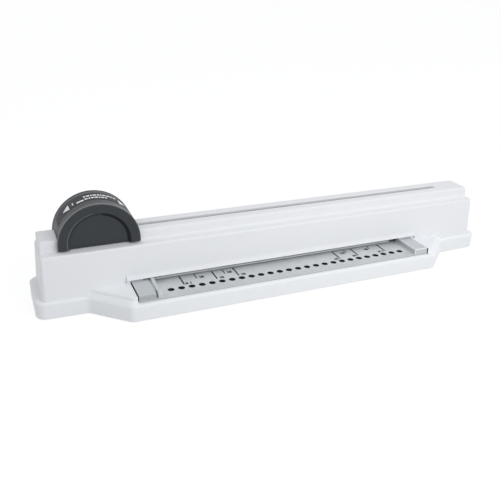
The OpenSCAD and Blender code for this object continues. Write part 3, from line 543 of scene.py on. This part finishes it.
def rounded_prism(samples, z0, z1, top_r, foot_r):
    """A solid over an outline, with round edges at its foot and its top."""
    rings = []

    def add(inset, z):
        rings.append([(x - inset * nx, y - inset * ny, z) for x, y, nx, ny in samples])

    for a in quarter(3):
        add(foot_r * (1 - math.sin(a)), z0 + foot_r * (1 - math.cos(a)))
    for a in quarter(7):
        add(top_r * (1 - math.cos(a)), z1 - top_r + top_r * math.sin(a))
    return ring_solid(rings)


def plain_object(name, points, faces):
    """A mesh object from points in millimetres, without material or body."""
    mesh = bpy.data.meshes.new(name)
    mesh.from_pydata([(x * MM, y * MM, z * MM) for x, y, z in points], [], faces)
    obj = bpy.data.objects.new(name, mesh)
    bpy.context.scene.collection.objects.link(obj)
    return obj


def cut_boxes(points, faces, boxes):
    """The solid with the boxes cut out of it, as points in millimetres and faces."""
    tool_points, tool_faces = [], []
    for low, high in boxes:
        append_solid(tool_points, tool_faces, box_points(low, high), BOX_FACES)
    tool = plain_object("base_tool", tool_points, tool_faces)
    solid = plain_object("uncut", points, faces)
    mod = solid.modifiers.new("cut", "BOOLEAN")
    mod.operation = "DIFFERENCE"
    mod.solver = "EXACT"
    mod.use_self = True
    mod.object = tool
    graph = bpy.context.evaluated_depsgraph_get()
    graph.update()
    result = solid.evaluated_get(graph).to_mesh()
    cut_points = [tuple(c / MM for c in v.co) for v in result.vertices]
    cut_faces = [tuple(p.vertices) for p in result.polygons]
    solid.evaluated_get(graph).to_mesh_clear()
    for obj in (solid, tool):
        data = obj.data
        bpy.data.objects.remove(obj)
        bpy.data.meshes.remove(data)
    return cut_points, cut_faces


def base_cuts():
    """Boxes cut out of the base: moulding bays under the shelf, the inside and the drawer's bay."""
    past = 1.0
    bay_half = SHELF_HALF - BAY_MARGIN
    pitch = 2 * bay_half / BAY_COUNT
    boxes = []
    for k in range(BAY_COUNT):
        x = k * pitch - bay_half
        boxes.append(((x, BASE_FRONT + 2 * BAY_RIB, BASE_UNDER - past),
                      (x + pitch - BAY_RIB, DIE_FRONT - BAY_RIB, DIE_UNDER)))
    boxes.append(((-INSIDE_HALF, DIE_FRONT - DIE_PLAY, DIE_UNDER),
                  (INSIDE_HALF, INSIDE_REAR, FLANGE_Z + past)))
    boxes.append(((-INSIDE_HALF, DRAWER_BAY_FRONT, DRAWER_BAY_FLOOR),
                  (INSIDE_HALF, DRAWER_BAY_REAR, DIE_UNDER + past)))
    boxes.append(((INSIDE_HALF - past, DRAWER_BAY_FRONT, DRAWER_BAY_FLOOR),
                  (BASE_HALF + past, DRAWER_BAY_REAR, DRAWER_BAY_TOP)))
    return boxes


def raised_corner(side):
    """One raised corner beside an end block, with its soft step towards the shelf's end."""
    inner = LEFT_BLOCK_X - CORNER_GAP if side < 0 else RIGHT_BLOCK_X + CORNER_GAP
    slope = SHELF_FLARE / (WING_FRONT - BASE_FRONT)
    across = math.hypot(1.0, slope)
    front_x = SHELF_X + side * CORNER_HALF
    rear_x = front_x + side * (CORNER_REAR - PLATE_FRONT) * slope
    bend_steps = 6
    rows = []
    for offset, rise in STEP_PROFILE:
        z = FLANGE_Z + rise
        out = side * offset * across
        front = PLATE_FRONT - offset * CORNER_FRONT_SHARE
        corner_x = front_x + out + side * (front - PLATE_FRONT) * slope
        start_x = corner_x - side * CORNER_BEND
        end_x, end_y = corner_x + side * CORNER_BEND * slope / across, front + CORNER_BEND / across
        row = [(inner, front, z)]
        for k in range(bend_steps + 1):
            t = k / bend_steps
            x = (1 - t) ** 2 * start_x + 2 * t * (1 - t) * corner_x + t * t * end_x
            y = (1 - t * t) * front + t * t * end_y
            row.append((x, y, z))
        row += [(rear_x + out, CORNER_REAR, z), (inner, CORNER_REAR, z)]
        rows.append(row if side > 0 else row[::-1])
    return ring_solid(rows)


def base_inserts():
    """Boxes in the base: a black sheet of painted shade under the sight holes, white under the lip's ends,
    and black lines of painted shade at the plate's front and beside the right block.
    """
    white, dark = 0, 1
    # A black sheet under the sight holes, painted shade for the hollow under them
    painted_shade_low = (LEFT_BLOCK_X + 6.0, PLATE_FRONT + 4.0, FLANGE_Z - 0.2)
    painted_shade_high = (RIGHT_BLOCK_X - 6.0, COVER_FRONT - 1.0, FLANGE_Z + 0.04)
    sunk, beside = FLANGE_Z - 1.0, 0.3
    filler_w = LIP_PLAY - 0.9
    filler_front, filler_top = COVER_FRONT + 0.4, LIP_Z - 0.3
    right_end = RIGHT_BLOCK_X + beside + filler_w - 1.2
    # A black line of painted shadow under the plate's front edge, and one of painted shade in the gap beside
    # the right block
    line_front, line_rear, line_top = PLATE_FRONT - 0.25, PLATE_FRONT - 0.05, FLANGE_Z + 0.03
    gap_left, gap_right = RIGHT_BLOCK_X + 0.05, RIGHT_BLOCK_X + 1.0
    gap_front, gap_rear, gap_top = PLATE_FRONT - 0.1, -34.0, 21.3
    return [
        (painted_shade_low, painted_shade_high, dark),
        ((LEFT_BLOCK_X - beside - filler_w, filler_front, sunk),
         (LEFT_BLOCK_X - beside, BLOCK_REAR, filler_top), white),
        ((RIGHT_BLOCK_X + beside, filler_front, sunk), (right_end, BLOCK_REAR, filler_top), white),
        ((LEFT_BLOCK_X, line_front, sunk), (RIGHT_BLOCK_X, line_rear, line_top), dark),
        ((gap_left, gap_front, sunk), (gap_right, gap_rear, gap_top), dark),
    ]


def base():
    points, faces = rounded_prism(filleted(BASE_OUTLINE), BASE_UNDER, FLANGE_Z, BASE_TOP_R, BASE_FOOT_R)
    points, faces = cut_boxes(points, faces, base_cuts())
    for side in (-1, 1):
        append_solid(points, faces, *raised_corner(side))
    marks = [0] * len(faces)
    for low, high, mark in base_inserts():
        append_solid(points, faces, box_points(low, high), BOX_FACES)
        marks += [mark] * len(BOX_FACES)
    return piece("base_shell", points, faces, [BASE_WHITE, PAINTED_SHADE_BLACK], "housing",
                 ["base_tray"], face_material=marks)


base()


# Handle

RECESS_OUT, RECESS_IN, RECESS_Y = DRUM_R - 7.8, DRUM_R - 10.8, DRUM_FRONT + 2.8
RECESS_FOOT = DRUM_FOOT - 0.4
BORE_R, BAY_FRONT, BAY_REAR, BAY_TOP = DRUM_R - 2.6, RAIL_FRONT - 1.0, RAIL_REAR + 1.0, RAIL_Z + 0.5
CROWN_R, CROWN_FRONT, CROWN_REAR, CROWN_STEP = DRUM_R - 0.2, -0.9, 28.3, 0.3
SEAT_R, LABEL_FRONT, LABEL_REAR = DRUM_R - 0.36, 8.7, 27.8
GROOVE_FRONT, GROOVE_REAR, GROOVE_DEPTH, GROOVE_LEAN = 29.3, 31.0, 0.7, 0.25
RIM_R, REAR_EDGE_R, EASE = 1.3, 0.9, 0.05
ARC_STEPS, SIDE_FACES, FLAT_RINGS = 72, 3, (0.0, 8.0, 16.0)


def drum_section():
    """Steps from the front's middle over the crown to the rear: outer r and y, inner r and y, foot's z."""
    section = []

    def add(r, y, inner_y, foot=DRUM_FOOT):
        section.append((r, y, min(r, BORE_R), inner_y, foot))

    # The recessed front and the slope up to its edge, which reach lower than the rest
    brink = (RECESS_OUT - 0.7, DRUM_FRONT + 0.55)
    for r in (*FLAT_RINGS, RECESS_IN - 1.0):
        add(r, RECESS_Y, BAY_FRONT, RECESS_FOOT)
    for r, y in ((RECESS_IN - 0.4, RECESS_Y - 0.08), (RECESS_IN + 0.3, RECESS_Y - 0.5), brink):
        add(r, y, BAY_FRONT, RECESS_FOOT)
    # The soft edge, the flat ring round the recess and the round rim
    for r, y in (brink, (RECESS_OUT - 0.25, DRUM_FRONT + 0.18), (RECESS_OUT + 0.2, DRUM_FRONT + 0.04),
                 (RECESS_OUT + 0.7, DRUM_FRONT), (DRUM_R - 2.0, DRUM_FRONT)):
        add(r, y, BAY_FRONT)
    for a in quarter(7):
        add(DRUM_R - RIM_R + RIM_R * math.sin(a), DRUM_FRONT + RIM_R * (1 - math.cos(a)), BAY_FRONT)
    # The crown with the label's seat
    for r, y in ((DRUM_R, CROWN_FRONT - 2 * CROWN_STEP), (DRUM_R - EASE, CROWN_FRONT - CROWN_STEP),
                 (CROWN_R, CROWN_FRONT), (CROWN_R, BAY_FRONT), (CROWN_R, LABEL_FRONT - EASE),
                 (SEAT_R, LABEL_FRONT), (SEAT_R, LABEL_REAR), (CROWN_R, LABEL_REAR + EASE),
                 (CROWN_R, CROWN_REAR), (DRUM_R - EASE, CROWN_REAR + CROWN_STEP),
                 (DRUM_R, CROWN_REAR + 2 * CROWN_STEP), (DRUM_R, BAY_REAR)):
        add(r, y, max(BAY_FRONT, min(BAY_REAR, y)))
    # The groove, the rear edge and the flat rear
    floor_r = DRUM_R - GROOVE_DEPTH
    for r, y in ((DRUM_R, GROOVE_FRONT), (floor_r, GROOVE_FRONT + GROOVE_LEAN),
                 (floor_r, GROOVE_REAR - GROOVE_LEAN), (DRUM_R, GROOVE_REAR)):
        add(r, y, BAY_REAR)
    for a in quarter(5):
        add(DRUM_R - REAR_EDGE_R * (1 - math.cos(a)), DRUM_REAR - REAR_EDGE_R * (1 - math.sin(a)), BAY_REAR)
    for r in (RECESS_OUT, *reversed(FLAT_RINGS)):
        add(r, DRUM_REAR, BAY_REAR)
    return section


def arch(r, y, foot):
    """One line over the drum from its right foot to its left foot."""
    most, least_r = 0.6, 1e-6
    low = math.asin(min(most, (BAY_TOP - DRUM_Z) / max(r, least_r)))
    angles = [0.0, low / 2] + [low + (math.pi - 2 * low) * k / ARC_STEPS for k in range(ARC_STEPS + 1)]
    angles += [math.pi - low / 2, math.pi]
    line = [(DRUM_X + r, y, foot)]
    line += [(DRUM_X + r * math.cos(a), y, DRUM_Z + r * math.sin(a)) for a in angles]
    line.append((DRUM_X - r, y, foot))
    return line


def drum_mark(x, y, z):
    """Material of a face at a place on the drum: zero plain, one a painted highlight on an edge, two painted
    shade on the recess's side.
    """
    rim_band, strip_band, lit_band, slope_in, aside = 0.45, 0.5, 0.35, 0.6, 4.0
    rim_y, brink_y, slope_y, margin = -1.9, DRUM_FRONT + 0.6, DRUM_FRONT + 0.5, 0.1
    r = math.hypot(x - DRUM_X, z - DRUM_Z)
    # Painted highlights: the front rim's outer edge, the band behind the label and the recess's left edge
    rim = r > DRUM_R - rim_band and y < rim_y
    strip = r > DRUM_R - strip_band and LABEL_REAR < y < GROOVE_FRONT + margin
    lit_edge = abs(r - RECESS_OUT) < lit_band and y < brink_y and x < DRUM_X - aside
    if rim or strip or lit_edge:
        return 1
    # Painted shade on the recess's right slope
    slope = RECESS_IN - slope_in < r < RECESS_OUT - slope_in and slope_y < y < RECESS_Y + margin
    return 2 if slope and x > DRUM_X + aside else 0


def handle():
    section = drum_section()
    outer = [arch(r, y, foot) for r, y, inner_r, inner_y, foot in section]
    inner = [arch(inner_r, inner_y, foot) for r, y, inner_r, inner_y, foot in section]
    rows, count = len(section), len(outer[0])
    points = [p for line in outer + inner for p in line]
    faces = []

    def at(layer, j, i):
        return layer * rows * count + j * count + i

    def present(j, i):
        """False for the places beside the rail, where the drum's wall is open."""
        wall_band, slack = 0.5, 0.01
        middle = (section[j][1] + section[j + 1][1]) / 2
        beside = i < SIDE_FACES or i >= count - 1 - SIDE_FACES
        wall = min(section[j][0], section[j + 1][0]) > SEAT_R - wall_band
        return not (wall and beside and BAY_FRONT - slack < middle < BAY_REAR + slack)

    for j in range(rows - 1):
        for i in range(count - 1):
            if not present(j, i):
                continue
            faces.append((at(0, j, i), at(0, j + 1, i), at(0, j + 1, i + 1), at(0, j, i + 1)))
            faces.append((at(1, j, i), at(1, j, i + 1), at(1, j + 1, i + 1), at(1, j + 1, i)))
            if i == 0 or not present(j, i - 1):
                faces.append((at(0, j, i), at(1, j, i), at(1, j + 1, i), at(0, j + 1, i)))
            if i == count - 2 or not present(j, i + 1):
                faces.append((at(0, j, i + 1), at(0, j + 1, i + 1), at(1, j + 1, i + 1), at(1, j, i + 1)))
            if j > 0 and not present(j - 1, i):
                faces.append((at(0, j, i), at(0, j, i + 1), at(1, j, i + 1), at(1, j, i)))
            if j < rows - 2 and not present(j + 1, i):
                faces.append((at(0, j + 1, i), at(1, j + 1, i), at(1, j + 1, i + 1), at(0, j + 1, i + 1)))
    marks = [drum_mark(*(sum(points[i][k] for i in f) / len(f) for k in range(3))) for f in faces]
    return piece("handle_drum", points, faces, [DARK, DARK_PAINTED_HIGHLIGHT, DARK_PAINTED_SHADE], "carriage",
                 ["slider_handle"], face_material=marks)


handle()


# Gauge plate, with the row of sight holes

SIGHT_STEPS, SIGHT_RIM, PLATE_EDGE = 32, 0.18, 0.35


def gauge_plate():
    left, right, front, rear = LEFT_BLOCK_X, RIGHT_BLOCK_X, PLATE_FRONT, DIE_FRONT - DIE_PLAY
    under, cell = PLATE_Z - PLATE_T, PITCH / 2
    holes = [ROW_X + (k - (HOLES - 1) / 2) * PITCH for k in range(HOLES)]
    angles = [2 * math.pi * k / SIGHT_STEPS for k in range(SIGHT_STEPS)]
    side_steps = SIGHT_STEPS // 4
    tangents = [math.tan(math.radians(-45 + 90 * k / side_steps)) for k in range(side_steps + 1)]
    # Places along x and y where the square cells round the holes have points
    cell_x = sorted({round(x + cell * t, 6) for x in holes for t in tangents})
    cell_y = [SIGHT_Y + cell * t for t in tangents]
    points, faces, walls = [], [], set()

    def put(x, y, z):
        points.append((x, y, z))
        return len(points) - 1

    def circle(x, r, z):
        return [put(x + r * math.cos(a), SIGHT_Y + r * math.sin(a), z) for a in angles]

    def square(x, z):
        reaches = [cell / max(abs(math.cos(a)), abs(math.sin(a))) for a in angles]
        return [put(x + r * math.cos(a), SIGHT_Y + r * math.sin(a), z) for r, a in zip(reaches, angles)]

    def band(first, second):
        for k in range(SIGHT_STEPS):
            n = (k + 1) % SIGHT_STEPS
            faces.append((first[k], first[n], second[n], second[k]))

    for x in holes:
        upper, lower = circle(x, SIGHT_R + SIGHT_RIM, PLATE_Z), circle(x, SIGHT_R, under)
        waist = circle(x, SIGHT_R, PLATE_Z - SIGHT_RIM)
        band(upper, square(x, PLATE_Z))
        band(lower, square(x, under))
        band(upper, waist)
        # The hole walls below the rim take black painted shade
        walls.update(range(len(faces), len(faces) + SIGHT_STEPS))
        band(waist, lower)

    def sheet(z, inset):
        """The flat of the plate round the row of cells."""
        line = [left + inset] + cell_x + [right - inset]
        patches = [(a, b, y0, y1) for y0, y1 in ((front + inset, cell_y[0]), (cell_y[-1], rear))
                   for a, b in zip(line, line[1:])]
        patches += [(a, b, y0, y1) for y0, y1 in zip(cell_y, cell_y[1:])
                    for a, b in ((left + inset, cell_x[0]), (cell_x[-1], right - inset))]
        for a, b, y0, y1 in patches:
            faces.append((put(a, y0, z), put(b, y0, z), put(b, y1, z), put(a, y1, z)))

    def wrap(inset):
        """The line round the plate's front and ends, from the rear left to the rear right."""
        side = [front + inset] + cell_y + [rear]
        ahead = [(x, front + inset) for x in cell_x]
        return [(left + inset, y) for y in reversed(side)] + ahead + [(right - inset, y) for y in side]

    sheet(PLATE_Z, PLATE_EDGE)
    sheet(under, 0.0)
    # Rolled edge at the front and the ends, square edge under the cover
    profile = [(0.0, under)]
    for a in reversed(quarter(4)):
        profile.append((PLATE_EDGE * (1 - math.sin(a)), PLATE_Z - PLATE_EDGE * (1 - math.cos(a))))
    for (inset0, z0), (inset1, z1) in zip(profile, profile[1:]):
        a, b = wrap(inset0), wrap(inset1)
        for k in range(len(a) - 1):
            faces.append((put(*a[k], z0), put(*a[k + 1], z0), put(*b[k + 1], z1), put(*b[k], z1)))
    low_line = [left] + cell_x + [right]
    high_line = [left + PLATE_EDGE] + cell_x + [right - PLATE_EDGE]
    for k in range(len(low_line) - 1):
        faces.append((put(low_line[k], rear, under), put(high_line[k], rear, PLATE_Z),
                      put(high_line[k + 1], rear, PLATE_Z), put(low_line[k + 1], rear, under)))
    return piece("sight_plate", points, faces, [PLATE_WITH_PAINTED_SHADE, PAINTED_SHADE_BLACK], "housing",
                 ["gauge_plate"], weighted=False, face_material=[int(k in walls) for k in range(len(faces))])


gauge_plate()


# End blocks, edge guide and the end of the stripper plate

BLOCK_NOSE_R, FRONT_DEPTH = 1.6, 0.7
TONGUE_FRONT, TONGUE_SHORT, TONGUE_SINK, TONGUE_GAP = -10.4, 4.5, 0.3, 0.3
# Place of the filler in painted shade in the groove beside the guide, and a clearance
GROOVE_SHADE_FRONT, GROOVE_SHADE_REAR, GROOVE_SHADE_SINK, CLEAR = -31.0, -8.0, 0.6, 0.05
GUIDE_TOP, GUIDE_NOSE_R, GUIDE_LEAN = BLOCK_TOP - 0.1, 2.2, 1.3
GUIDE_RISE_FOOT, GUIDE_RISE_TOP, GUIDE_LIP_GAP = -19.0, -11.0, 0.4


def nose(top, r):
    """The round front edge of a block, in y and z from its top to its front."""
    return [(PLATE_FRONT + r * (1 - math.sin(a)), top - r * (1 - math.cos(a))) for a in quarter(5)]


def tongue(x0, x1):
    """The part of an end block that reaches up under the cover's lip."""
    return box_points((x0, TONGUE_FRONT, BLOCK_TOP - TONGUE_SINK), (x1, BLOCK_REAR, LIP_Z - TONGUE_GAP))


def block_marks(points, faces):
    """Zero for the top of the left block, one for its front in painted shade, two for its outer end in black
    painted shade.
    """
    marks = []
    for f in faces:
        front = all(points[i][1] < PLATE_FRONT + FRONT_DEPTH for i in f)
        end = all(points[i][0] == LEFT_BLOCK_X for i in f)
        marks.append(2 if end else 1 if front else 0)
    return marks


def left_block():
    profile = [(BLOCK_REAR, PLATE_Z), (BLOCK_REAR, BLOCK_TOP)] + nose(BLOCK_TOP, BLOCK_NOSE_R)
    points, faces = prism_x(profile + [(PLATE_FRONT, PLATE_Z)], LEFT_BLOCK_X, LEFT_BLOCK_END)
    # A filler in the groove by the guide, in painted shade
    groove_shade = box_points((LEFT_BLOCK_END, GROOVE_SHADE_FRONT, PLATE_Z),
                      (GUIDE_LEFT - CLEAR, GROOVE_SHADE_REAR, BLOCK_TOP - GROOVE_SHADE_SINK))
    marks = block_marks(points, faces) + [0] * len(BOX_FACES) + [1] * len(BOX_FACES)
    append_solid(points, faces, tongue(LEFT_BLOCK_X, LEFT_BLOCK_END - TONGUE_SHORT), BOX_FACES)
    append_solid(points, faces, groove_shade, BOX_FACES)
    return piece("left_block", points, faces, [BLOCK_GREY, BLOCK_PAINTED_SHADE, PAINTED_SHADE_BLACK], "housing",
                 ["left_end_block"], bevel=0.4, face_material=marks)


def left_guide():
    rise_z = LIP_Z - GUIDE_LIP_GAP
    profile = [(BLOCK_REAR, PLATE_Z), (BLOCK_REAR, rise_z), (GUIDE_RISE_TOP, rise_z),
               (GUIDE_RISE_FOOT, GUIDE_TOP)]
    profile += nose(GUIDE_TOP, GUIDE_NOSE_R) + [(PLATE_FRONT, PLATE_Z)]
    points, faces = prism_x(profile, GUIDE_LEFT, LEFT_EDGE_X)
    points = [(x - GUIDE_LEAN * (x == LEFT_EDGE_X and z > PLATE_Z), y, z) for x, y, z in points]
    return piece("left_guide", points, faces, [GUIDE_GREY], "housing", ["left_edge_guide"],
                 bevel=0.7, segments=4)


def stripper_end():
    """The end of the stripper plate that shows beside the left guide, in front of its lead-in."""
    left, right = LEFT_EDGE_X + CLEAR, STRIPPER_LEFT - CLEAR
    front, rear = STRIPPER_FRONT, STRIPPER_FRONT + STRIPPER_LEAD
    outline = [(left, front), (right + STRIPPER_LEAD, front), (right, rear), (left, rear)]
    points, faces = ring_solid([[(x, y, z) for x, y in outline] for z in (STRIPPER_UNDER, STRIPPER_TOP)])
    return piece("stripper_end", points, faces, [SILVER], "housing")


def right_block():
    flank_lean = 0.1
    top_x = RIGHT_EDGE_X + flank_lean
    profile = [(top_x, BLOCK_TOP), (RIGHT_EDGE_X, PLATE_Z), (RIGHT_BLOCK_X, PLATE_Z),
               (RIGHT_BLOCK_X, BLOCK_TOP)]
    points, faces = prism_y(profile, PLATE_FRONT, BLOCK_REAR)
    # The prism's first side, after its two ends, is the flank that faces the sheet, which takes painted shade
    flank = 2
    marks = [2 if k == flank else 0 for k in range(len(faces))] + [0] * len(BOX_FACES)
    append_solid(points, faces, tongue(top_x, RIGHT_BLOCK_X), BOX_FACES)
    # The bevels take a painted highlight
    return piece("right_block", points, faces, [BLOCK_GREY, EDGE_PAINTED_HIGHLIGHT, FLANK_PAINTED_SHADE], "housing",
                 ["right_end_block"], bevel=0.7, face_material=marks, edge_material=1)


left_block()
left_guide()
stripper_end()
right_block()


# Marks on the plate and on the handle's label

# Lines for the sheet sizes: place from the row's middle, length, number
GAUGE_LINES = [
    (-105.2, 16.4, "21"), (-91.1, 8.8, "18"), (-74.1, 15.8, "15"), (-63.9, 8.2, "13"), (-53.1, 16.2, "10"),
    (53.1, 16.2, "10"), (65.6, 6.4, "13"), (74.1, 15.6, "15"), (93.1, 6.4, "18"), (105.2, 15.6, "21"),
]
LINE_BACK, LONG_LINE, LONG_HALF, SHORT_HALF = -4.8, 12.0, 0.7, 0.5
DIGIT_W, DIGIT_H, DIGIT_T, DIGIT_STEP = 2.5, 3.6, 1.0, 3.0
# Numerals beside the lines, left and right of the row's middle: place from the line and below its end
LEFT_NUMERAL, RIGHT_NUMERAL = (1.5, 0.4), (-7.6, 1.4)
SEGMENTS = {"0": "abcdef", "1": "bc", "2": "abged", "3": "abgcd", "5": "afgcd", "8": "abcdefg"}
PRINT_T = 0.03


def rect(x0, y0, x1, y1):
    return [(x0, y0), (x1, y0), (x1, y1), (x0, y1)]


def digit(mark, x, y):
    """A plain numeral built from straight strokes."""
    right, top, middle = x + DIGIT_W, y + DIGIT_H, y + DIGIT_H / 2
    strokes = {
        "a": rect(x, top - DIGIT_T, right, top),
        "b": rect(right - DIGIT_T, middle, right, top),
        "c": rect(right - DIGIT_T, y, right, middle),
        "d": rect(x, y, right, y + DIGIT_T),
        "e": rect(x, y, x + DIGIT_T, middle),
        "f": rect(x, middle, x + DIGIT_T, top),
        "g": rect(x, middle - DIGIT_T / 2, right, middle + DIGIT_T / 2),
    }
    return [strokes[k] for k in SEGMENTS[mark]]


def plate_print(name, shapes):
    """Thin printed shapes on the plate, each a polygon in x and y."""
    points, faces = [], []
    for shape in shapes:
        layers = [[(x, y, z) for x, y in shape] for z in (PLATE_Z, PLATE_Z + PRINT_T)]
        append_solid(points, faces, *ring_solid(layers))
    return piece(name, points, faces, [PRINT_BLACK], "housing", weighted=False)


def gauge_marks():
    lines, numerals = [], []
    for offset, length, number in GAUGE_LINES:
        x, end = ROW_X + offset, LINE_BACK - length
        half = LONG_HALF if length > LONG_LINE else SHORT_HALF
        lines.append(rect(x - half, end, x + half, LINE_BACK))
        beside, below = LEFT_NUMERAL if offset < 0 else RIGHT_NUMERAL
        for k, mark in enumerate(number):
            numerals += digit(mark, x + beside + DIGIT_STEP * k, end - below)
    plate_print("gauge_lines", lines)
    plate_print("gauge_numerals", numerals)


gauge_marks()

# Marks on the label, along the crown in degrees from its top and across it in y
PRINT_IN, PRINT_OUT = DRUM_R - 0.06, DRUM_R - 0.02
ARROW_Y, ARROW_START, ARROW_LENGTH, ARROW_HALF, ARROW_TIP = 14.8, 36.8, 11.2, 5.2, 0.15
ARROW_STEPS, STRIP_STEP = 8, 1.5
BARS = [(-24.5, -14.0, 11.0, 13.8), (-31.0, -29.4, 12.6, 17.8)]
# Rows of dashes: start, front y, widths
DASH_ROWS = [
    (-13.0, 18.0, (3.2, 4.5, 2.2, 5.0, 3.4, 2.0, 4.2, 5.4, 2.6, 3.8)),
    (-12.5, 12.2, (4.4, 2.4, 3.6, 5.2, 2.0, 4.0, 3.0)),
]
DASH_DEPTH, DASH_GAP = 2.6, 1.1


def label_marks():
    """White arrows and rows of plain dashes on the curved label."""
    points, faces = [], []

    def patch(edges):
        """A strip along the crown: degrees, lower y and upper y at each step."""
        start, n = len(points), len(edges)
        for r in (PRINT_IN, PRINT_OUT):
            for deg, y0, y1 in edges:
                a = math.radians(deg)
                for y in (y0, y1):
                    points.append((DRUM_X + r * math.sin(a), y, DRUM_Z + r * math.cos(a)))
        for k in range(n - 1):
            i, o = start + 2 * k, start + 2 * n + 2 * k
            faces.append((o, o + 1, o + 3, o + 2))
            faces.append((i, i + 2, i + 3, i + 1))
            faces.append((i, o, o + 2, i + 2))
            faces.append((i + 1, i + 3, o + 3, o + 1))
        for k in (0, n - 1):
            i, o = start + 2 * k, start + 2 * n + 2 * k
            faces.append((i, i + 1, o + 1, o))

    def strip(d0, d1, y0, y1):
        steps = max(1, math.ceil((d1 - d0) / STRIP_STEP))
        patch([(d0 + (d1 - d0) * k / steps, y0, y1) for k in range(steps + 1)])

    for side in (-1, 1):
        arrow = []
        for k in range(ARROW_STEPS + 1):
            t = k / ARROW_STEPS
            half = ARROW_TIP + ARROW_HALF * (1 - t)
            arrow.append((side * (ARROW_START + ARROW_LENGTH * t), ARROW_Y - half, ARROW_Y + half))
        patch(arrow)
    for bar in BARS:
        strip(*bar)
    for deg, y, widths in DASH_ROWS:
        for width in widths:
            strip(deg, deg + width, y, y + DASH_DEPTH)
            deg += width + DASH_GAP
    return piece("label_print", points, faces, [PRINT_WHITE], "carriage", weighted=False)


label_marks()


# Floor, light and camera, in metres

FLOOR_HALF, FLOOR_GREY, FLOOR_GLOW, GLOW_SHARE = 8.0, 0.80, 1.15, 0.75
FILL_COLOR, FILL_STRENGTH = (0.96, 0.98, 1.0, 1.0), 0.64
# Place, turn about the axes in degrees and focal length of the camera, fitted to the photo
CAMERA_PLACE, CAMERA_TURN = (-0.248085, -0.496958, 0.278526), (65.3763, -1.5119, -22.8314)
CAMERA_LENS, CAMERA_SENSOR = 45.4838, 36.0


def seen_rays(nodes, links):
    """One for the rays that show the surroundings themselves: camera, mirror and glass rays."""
    path = nodes.new("ShaderNodeLightPath")
    first = nodes.new("ShaderNodeMath")
    first.operation = "MAXIMUM"
    links.new(path.outputs["Is Camera Ray"], first.inputs[0])
    links.new(path.outputs["Is Glossy Ray"], first.inputs[1])
    second = nodes.new("ShaderNodeMath")
    second.operation = "MAXIMUM"
    links.new(first.outputs["Value"], second.inputs[0])
    links.new(path.outputs["Is Transmission Ray"], second.inputs[1])
    return second.outputs["Value"]


def stage():
    """A pale floor that takes the shadow and is seen almost as white as the background."""
    mesh = bpy.data.meshes.new("floor")
    corners = rect(-FLOOR_HALF, -FLOOR_HALF, FLOOR_HALF, FLOOR_HALF)
    mesh.from_pydata([(x, y, 0.0) for x, y in corners], [], [(0, 1, 2, 3)])
    floor = bpy.data.objects.new("floor", mesh)
    bpy.context.scene.collection.objects.link(floor)
    mat = bpy.data.materials.new("floor_white")
    mat.use_nodes = True
    nodes, links = mat.node_tree.nodes, mat.node_tree.links
    nodes.clear()
    out = nodes.new("ShaderNodeOutputMaterial")
    diffuse = nodes.new("ShaderNodeBsdfDiffuse")
    diffuse.inputs["Color"].default_value = (FLOOR_GREY, FLOOR_GREY, FLOOR_GREY, 1.0)
    glow = nodes.new("ShaderNodeEmission")
    glow.inputs["Strength"].default_value = FLOOR_GLOW
    share = nodes.new("ShaderNodeMath")
    share.operation = "MULTIPLY"
    share.inputs[1].default_value = GLOW_SHARE
    links.new(seen_rays(nodes, links), share.inputs[0])
    both = nodes.new("ShaderNodeMixShader")
    links.new(share.outputs["Value"], both.inputs["Fac"])
    links.new(diffuse.outputs["BSDF"], both.inputs[1])
    links.new(glow.outputs["Emission"], both.inputs[2])
    links.new(both.outputs["Shader"], out.inputs["Surface"])
    mesh.materials.append(mat)


stage()


def world():
    """White where the surroundings are seen, a soft fill where they light the part."""
    shade = bpy.data.worlds.new("studio")
    bpy.context.scene.world = shade
    shade.use_nodes = True
    nodes, links = shade.node_tree.nodes, shade.node_tree.links
    nodes.clear()
    out = nodes.new("ShaderNodeOutputWorld")
    fill = nodes.new("ShaderNodeBackground")
    fill.inputs["Color"].default_value = FILL_COLOR
    fill.inputs["Strength"].default_value = FILL_STRENGTH
    white = nodes.new("ShaderNodeBackground")
    white.inputs["Color"].default_value = (1.0, 1.0, 1.0, 1.0)
    white.inputs["Strength"].default_value = 1.0
    mix = nodes.new("ShaderNodeMixShader")
    links.new(seen_rays(nodes, links), mix.inputs["Fac"])
    links.new(fill.outputs["Background"], mix.inputs[1])
    links.new(white.outputs["Background"], mix.inputs[2])
    links.new(mix.outputs["Shader"], out.inputs["Surface"])


world()


def softbox(name, place, aim, width, height, power):
    """An area lamp that the camera does not see."""
    data = bpy.data.lights.new(name, "AREA")
    data.shape = "RECTANGLE"
    data.size, data.size_y = width, height
    data.energy = power
    lamp = bpy.data.objects.new(name, data)
    lamp.location = place
    lamp.visible_camera = False
    lamp.rotation_euler = (Vector(aim) - Vector(place)).to_track_quat("-Z", "Y").to_euler()
    bpy.context.scene.collection.objects.link(lamp)


softbox("key_box", place=(0.11, -0.45, 0.42), aim=(0.07, 0.0, 0.03), width=0.5, height=0.3, power=1.25)
softbox("side_box", place=(1.5, -0.25, 1.0), aim=(0.0, 0.0, 0.04), width=0.35, height=0.35, power=2.5)


def camera():
    data = bpy.data.cameras.new("camera")
    data.sensor_width = CAMERA_SENSOR
    data.lens = CAMERA_LENS
    data.clip_start, data.clip_end = 0.01, 50.0
    obj = bpy.data.objects.new("camera", data)
    turn = Euler([math.radians(a) for a in CAMERA_TURN])
    obj.matrix_world = Matrix.LocRotScale(Vector(CAMERA_PLACE), turn, None)
    bpy.context.scene.collection.objects.link(obj)
    bpy.context.scene.camera = obj


camera()

bpy.context.scene.view_settings.view_transform = "Standard"
